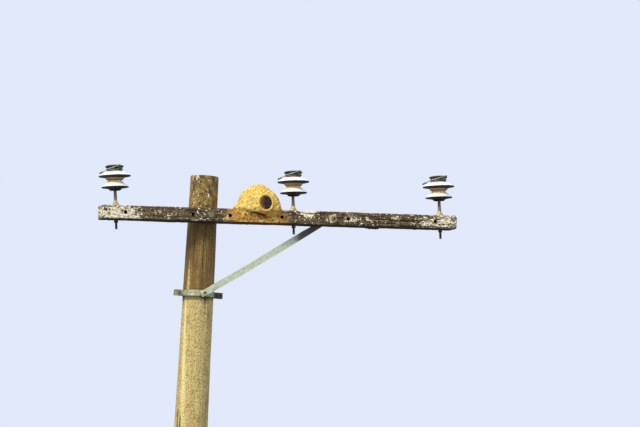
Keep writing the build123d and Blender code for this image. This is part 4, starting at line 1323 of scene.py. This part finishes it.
class UTILITYPOLE_OT_tie_wires(bpy.types.Operator):
    """Build the tie wires left on the insulators' necks"""

    bl_idname = "utility_pole.tie_wires"
    bl_label = "Tie Wires"

    def execute(self, context):
        bright = wire_aluminium("drawn_aluminium_wire", "#d6d1c0", "#8f8a78")
        dull = wire_aluminium("oxidised_aluminium_wire", "#8a8575", "#3b382f")
        ring = NECK_RADIUS + TIE_RADIUS
        middle = (NECK_LOW + NECK_HIGH) / 2 - 2
        # Each tie comes in from its far end, goes once round and leaves for its near end
        far = np.array([-ring - 2, TIE_FAR, middle - 0.07 * TIE_FAR])
        near = np.array([-ring - 2, -TIE_NEAR, middle + 0.01 * TIE_NEAR])
        loop = coiled(ring, pi, 2 * pi, middle - 3, 1, 26)
        straight = np.linspace(0, 1, 9)[1:, None]
        first = far + (loop[0] - far) * straight[:-1]
        last = loop[-1] + (near - loop[-1]) * straight
        main = wire_path(np.concatenate([[far], first, loop, last]), 14)
        # The binding winds on the far end, bends behind the neck and winds on the near end
        bend = [(-0.98 * ring, 52, middle - 1), (-0.7 * ring, 54, middle + 1)]
        bend += [(-0.35 * ring, 53, middle + 2)]
        back = coiled(ring, pi / 2, -2.0, middle + 3 - 1.5 * pi, -3, 12)
        joint = near + (loop[-1] - near) * (1 - BINDING_START / TIE_NEAR)
        for number, side in enumerate(PIN_POSITIONS):
            rear_grip = wound(far, (far + loop[0]) / 2, COIL_RADIUS, COIL_PITCH, number)
            front_grip = wound(joint, near, COIL_RADIUS, COIL_PITCH, 2.0 + number)
            strand = wire_path(np.concatenate([rear_grip, bend, back, front_grip]), 4)
            tie = ("tie", main, TIE_RADIUS, [bright, dull], [f"tie_wire_{side}"])
            binding = ("binding", strand, BINDING_RADIUS, [dull], [])
            for name, path, radius, wires, nodes in (tie, binding):
                grid = on_pin(tube(path, radius, 8, (0.12, 0.08, 1.0)), side, SHELL_SHIFT[side])
                on_neck = np.hypot(path[:, 0], path[:, 1]) < ring + 5
                rows = on_neck * (len(wires) - 1)
                slot = "tie_wire_aluminium"
                add_solid(f"{name}_{side}", grid, wires, slot, nodes, rows, crease=40)
        return {"FINISHED"}


def threaded(radius, length, pitch):
    """Screw thread as rings of points up a rod: the radius falls and rises by half the thread's
    depth as the turn round the rod plus the way along it, counted in pitches, goes by."""
    height = np.linspace(0, length, int(length / pitch * 6))[:, None]
    angle = full_turn(24)[None, :]
    phase = (height / pitch - angle / (2 * pi)) % 1.0
    depth = 0.6 * pitch * (1 - abs(2 * phase - 1))
    run_out = smooth_step(height, 0, pitch) * smooth_step(-height, -length, pitch - length)
    ridge = radius + 0.35 - depth * run_out
    return np.stack([ridge * np.cos(angle), ridge * np.sin(angle), height + 0 * angle], -1)


# Pin: radius and height over the crossarm of each corner
PIN_OUTLINE = (
    (0.1, -92), (8, -92), (8, -3), (8, -0.5), (23.5, -0.5), (24, 0), (24, 6), (22.5, 10),
    (18.5, 14), (15.5, 20), (12.6, 29), (10.8, 40), (10, 60), (9.6, 98), (9.5, 120), (16.5, 126),
    (16.5, 196), (13, 199.5), (0.1, 199.7),
)


class UTILITYPOLE_OT_pins(bpy.types.Operator):
    """Build the forged pins under the insulators, with their threaded tails"""

    bl_idname = "utility_pole.pins"
    bl_label = "Insulator Pins"

    def execute(self, context):
        rust = tuple(context.scene.utility_pole_colours.rust)
        steel = galvanised_steel("galvanised_forged_pin", "#6d6c5f", "#57564b", rust, 0.74)
        limed = galvanised_steel("limed_pin_foot", "#bdb38a", "#978d68", "#8a7340", 0.72)
        # Rust and painted shade on the threaded tails under the crossarm
        dark = galvanised_steel("rusted_and_shaded_pin_tail", "#3b362c", "#2c2820", "#3d2c1e", 0.6)
        tail = (arm_high[2] - arm_low[2]) / MM + PIN_TAIL
        curve = rounded(PIN_OUTLINE)
        foot = (curve[:, 1] > -1) & (curve[:, 1] < 34)
        thread = threaded(8, 66, 2.5) - np.array([0, 0, tail])
        slot = "galvanised_steel"
        for side in PIN_POSITIONS:
            name = f"forged_{side}"
            grid = on_pin(revolve(curve, 32), side)
            add_solid(name, grid, [steel, limed], slot, [f"pin_{side}"], foot, crease=50)
            add_solid(f"{name}_thread", on_pin(thread, side), [dark], slot)
        return {"FINISHED"}


def sagged(work, start, end, drop, spread):
    """Cuts a mesh across at even places along X and lowers it between two ends by a lopsided half
    sine wave, and its lower half by a spread more."""
    for place in np.linspace(start[0], end[0], 16)[1:-1]:
        parts = [*work.verts, *work.edges, *work.faces]
        bmesh.ops.bisect_plane(work, geom=parts, plane_co=(place, 0, 0), plane_no=(1, 0, 0))
    places = np.array([point.co for point in work.verts])
    share = np.clip((places[:, 0] - start[0]) / (end[0] - start[0]), 0, 1)
    below = places[:, 2] < start[2] + share * (end[2] - start[2]) - 8 * MM
    places[:, 2] -= np.sin(pi * share**0.75) ** 0.6 * (drop + spread * below)
    for point, place in zip(work.verts, places):
        point.co = place


def softened(node, name, material, width):
    """Makes a piece of a copy of a built node, with its points joined, its flat faces made whole
    and its sharp edges worn round; the brace sags a little between its bolts."""
    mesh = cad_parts[node].data.copy()
    mesh.name = name
    work = bmesh.new()
    work.from_mesh(mesh)
    bmesh.ops.remove_doubles(work, verts=work.verts, dist=0.001 * MM)
    bmesh.ops.dissolve_limit(work, angle_limit=radians(0.5), verts=work.verts, edges=work.edges)
    if node == "brace":
        start, end = (np.mean(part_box(bolt), axis=0) for bolt in ("brace_clamp_bolt", "brace_bolt"))
        sagged(work, start, end, 7 * MM, 2.5 * MM)
    work.to_mesh(mesh)
    work.free()
    mesh.materials.clear()
    mesh.materials.append(material)
    mesh.polygons.foreach_set("material_index", np.zeros(len(mesh.polygons), np.int32))
    mesh.polygons.foreach_set("use_smooth", np.ones(len(mesh.polygons), bool))
    mesh.set_sharp_from_angle(angle=radians(30))
    piece = bpy.data.objects.new(name, mesh)
    bpy.context.scene.collection.objects.link(piece)
    bevel = piece.modifiers.new("worn_edges", "BEVEL")
    bevel.width = width
    bevel.segments = 2
    bevel.limit_method = "ANGLE"
    bevel.angle_limit = radians(35)
    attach(piece, BODY)
    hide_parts(node)


class UTILITYPOLE_OT_ironwork(bpy.types.Operator):
    """Build the brace, the clamp, the bolts, the nuts and the washers in weathered zinc"""

    bl_idname = "utility_pole.ironwork"
    bl_label = "Brace and Clamp"

    def execute(self, context):
        colours = context.scene.utility_pole_colours
        zinc, rust = tuple(colours.zinc), tuple(colours.rust)
        # The brace's upper part near the crossarm is dark: dirt and the crossarm's painted shadow
        grime_and_shadow_start = arm_middle[0] + 0.13
        angle_iron = galvanised_steel("galvanised_angle_iron", "#cbd4bd", zinc, rust, 0.95, grime_and_shadow_start)
        # The clamp's right lug is dark: dirt and painted shadow
        grime_and_shadow_start = clamp_high[0] - 0.08
        strap = galvanised_steel("galvanised_clamp_strap", "#a5a78d", "#868a70", rust, 0.8, grime_and_shadow_start)
        bright = galvanised_steel("limed_square_washer", "#e0d9b4", "#b8ad80", "#8a7340", 0.66)
        grown = galvanised_steel("lichened_square_washer", "#5e5038", "#9a8e6b", "#2e2418", 0.6)
        dull = galvanised_steel("weathered_bolt_steel", "#918c77", "#6a6454", rust, 0.64)
        # Rust and painted shade on the pins' nuts and washers under the crossarm
        tail = galvanised_steel("rusted_and_shaded_nut_steel", "#4a4035", "#382f26", rust, 0.6)
        finishes = {
            "brace": angle_iron,
            "clamp_front": strap,
            "clamp_rear": strap,
            "brace_bolt_washer": bright,
            "brace_clamp_nut": bright,
            "main_bolt_front_washer": grown,
        }
        for side in PIN_POSITIONS:
            finishes |= {f"pin_nut_{side}": tail, f"pin_washer_{side}": tail}
        for name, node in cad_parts.items():
            if not node.hide_render:
                width = 1.4 * MM if name == "brace" else 0.9 * MM
                softened(name, f"iron_{name}", finishes.get(name, dull), width)
        for name, radius, forward in THREADED_ENDS:
            low, high = (np.array(corner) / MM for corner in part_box(name))
            thread = threaded(radius, 24, 2.0 if radius > 7 else 1.75)
            middle = (low + high) / 2
            end, step = (low[1], 1) if forward else (high[1], -1)
            x = middle[0] + thread[..., 0] * step
            y = end + thread[..., 2] * step
            grid = np.stack([x, y, middle[2] - thread[..., 1]], -1) * MM
            add_solid(f"thread_{name}", grid, [dull], "galvanised_steel")
        return {"FINISHED"}


class UTILITYPOLE_OT_stage(bpy.types.Operator):
    """Set up the camera, the soft light, the backdrop and the floor"""

    bl_idname = "utility_pole.stage"
    bl_label = "Stage"

    def execute(self, context):
        settings = context.scene.utility_pole_stage
        scene = context.scene
        scene.view_settings.view_transform = "Standard"
        camera_data = bpy.data.cameras.new("camera")
        camera_data.lens = settings.camera_lens
        camera_data.sensor_width = 36.0
        camera_data.clip_end = 200.0
        camera = bpy.data.objects.new("camera", camera_data)
        camera.location = settings.camera_place
        camera.rotation_euler = (pi / 2 + settings.camera_pitch, 0.0, -settings.camera_yaw)
        scene.collection.objects.link(camera)
        scene.camera = camera

        key_data = bpy.data.lights.new("key_light", "SUN")
        key_data.energy = settings.key_strength
        key_data.angle = settings.key_size
        key_data.color = linear("#fff4e0")
        key = bpy.data.objects.new("key_light", key_data)
        heading = settings.camera_yaw + pi + settings.key_side
        key.rotation_euler = (pi / 2 - settings.key_rise, 0.0, pi - heading)
        scene.collection.objects.link(key)

        world = bpy.data.worlds.new("studio")
        world.use_nodes = True
        scene.world = world
        tree = world.node_tree
        tree.nodes.clear()
        direction = add_node(tree, "TexCoord", output="Generated")
        rise = add_node(tree, "SeparateXYZ", (direction,), "Z")
        inputs = (rise, -0.25, 0.25, settings.fill_below, settings.fill_above)
        strength = add_node(tree, "MapRange", inputs)
        fill = add_node(tree, "Background", ("#f0f3fa", strength))
        seen = add_node(tree, "Background", (tuple(settings.backdrop), 1.0))
        is_seen = add_node(tree, "LightPath", output="Is Camera Ray")
        mixed = add_node(tree, "MixShader", (is_seen, fill, seen))
        output = tree.nodes.new("ShaderNodeOutputWorld")
        tree.links.new(mixed, output.inputs["Surface"])

        sides = 128
        angle = full_turn(sides)
        radius = settings.floor_radius * np.linspace(1.0, 0.1, 10)[:, None]
        rings = np.stack(
            [radius * np.cos(angle) + 0.5, radius * np.sin(angle), 0 * radius * angle - 0.5 * MM],
            -1,
        )
        flat = np.concatenate([rings.reshape(-1, 3), rings[-1].mean(0, keepdims=True)])
        count = len(flat) - 1
        faces = grid_quads(len(rings), sides, closed=True).tolist()
        faces += ring_fan(count - sides, sides, count, upward=True).tolist()
        mesh = bpy.data.meshes.new("floor")
        mesh.from_pydata(flat.tolist(), [], faces)
        mesh.materials.append(stage_floor_paint(tuple(settings.floor)))
        floor = bpy.data.objects.new("floor", mesh)
        scene.collection.objects.link(floor)
        return {"FINISHED"}


class UTILITYPOLE_PT_sidebar(bpy.types.Panel):
    """Buttons and sizes of the utility pole"""

    bl_idname = "UTILITYPOLE_PT_sidebar"
    bl_label = "Utility Pole"
    bl_space_type = "VIEW_3D"
    bl_region_type = "UI"
    bl_category = "Utility Pole"

    def draw(self, context):
        layout = self.layout
        for operator in OPERATORS:
            layout.operator(operator.bl_idname)
        for name in SETTINGS:
            settings = getattr(context.scene, name)
            box = layout.box()
            for key in settings.__annotations__:
                box.prop(settings, key)


OPERATORS = (
    UTILITYPOLE_OT_stage,
    UTILITYPOLE_OT_pole,
    UTILITYPOLE_OT_crossarm,
    UTILITYPOLE_OT_nest,
    UTILITYPOLE_OT_insulators,
    UTILITYPOLE_OT_tie_wires,
    UTILITYPOLE_OT_pins,
    UTILITYPOLE_OT_ironwork,
)
SETTINGS = {
    "utility_pole_stage": StageSettings,
    "utility_pole_timber": TimberSettings,
    "utility_pole_nest": NestSettings,
    "utility_pole_colours": ColourSettings,
}


def register():
    """Registers the settings, the operators and the panel."""
    for name, group in SETTINGS.items():
        bpy.utils.register_class(group)
        setattr(bpy.types.Scene, name, PointerProperty(type=group))
    for operator in OPERATORS:
        bpy.utils.register_class(operator)
    bpy.utils.register_class(UTILITYPOLE_PT_sidebar)


def unregister():
    """Takes the panel, the operators and the settings away again."""
    bpy.utils.unregister_class(UTILITYPOLE_PT_sidebar)
    for operator in reversed(OPERATORS):
        bpy.utils.unregister_class(operator)
    for name, group in SETTINGS.items():
        delattr(bpy.types.Scene, name)
        bpy.utils.unregister_class(group)


def main():
    """Builds the stage and the whole object."""
    register()
    bpy.ops.utility_pole.stage()
    bpy.ops.utility_pole.pole()
    bpy.ops.utility_pole.crossarm()
    bpy.ops.utility_pole.nest()
    bpy.ops.utility_pole.insulators()
    bpy.ops.utility_pole.tie_wires()
    bpy.ops.utility_pole.pins()
    bpy.ops.utility_pole.ironwork()
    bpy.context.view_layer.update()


if __name__ == "__main__":
    main()
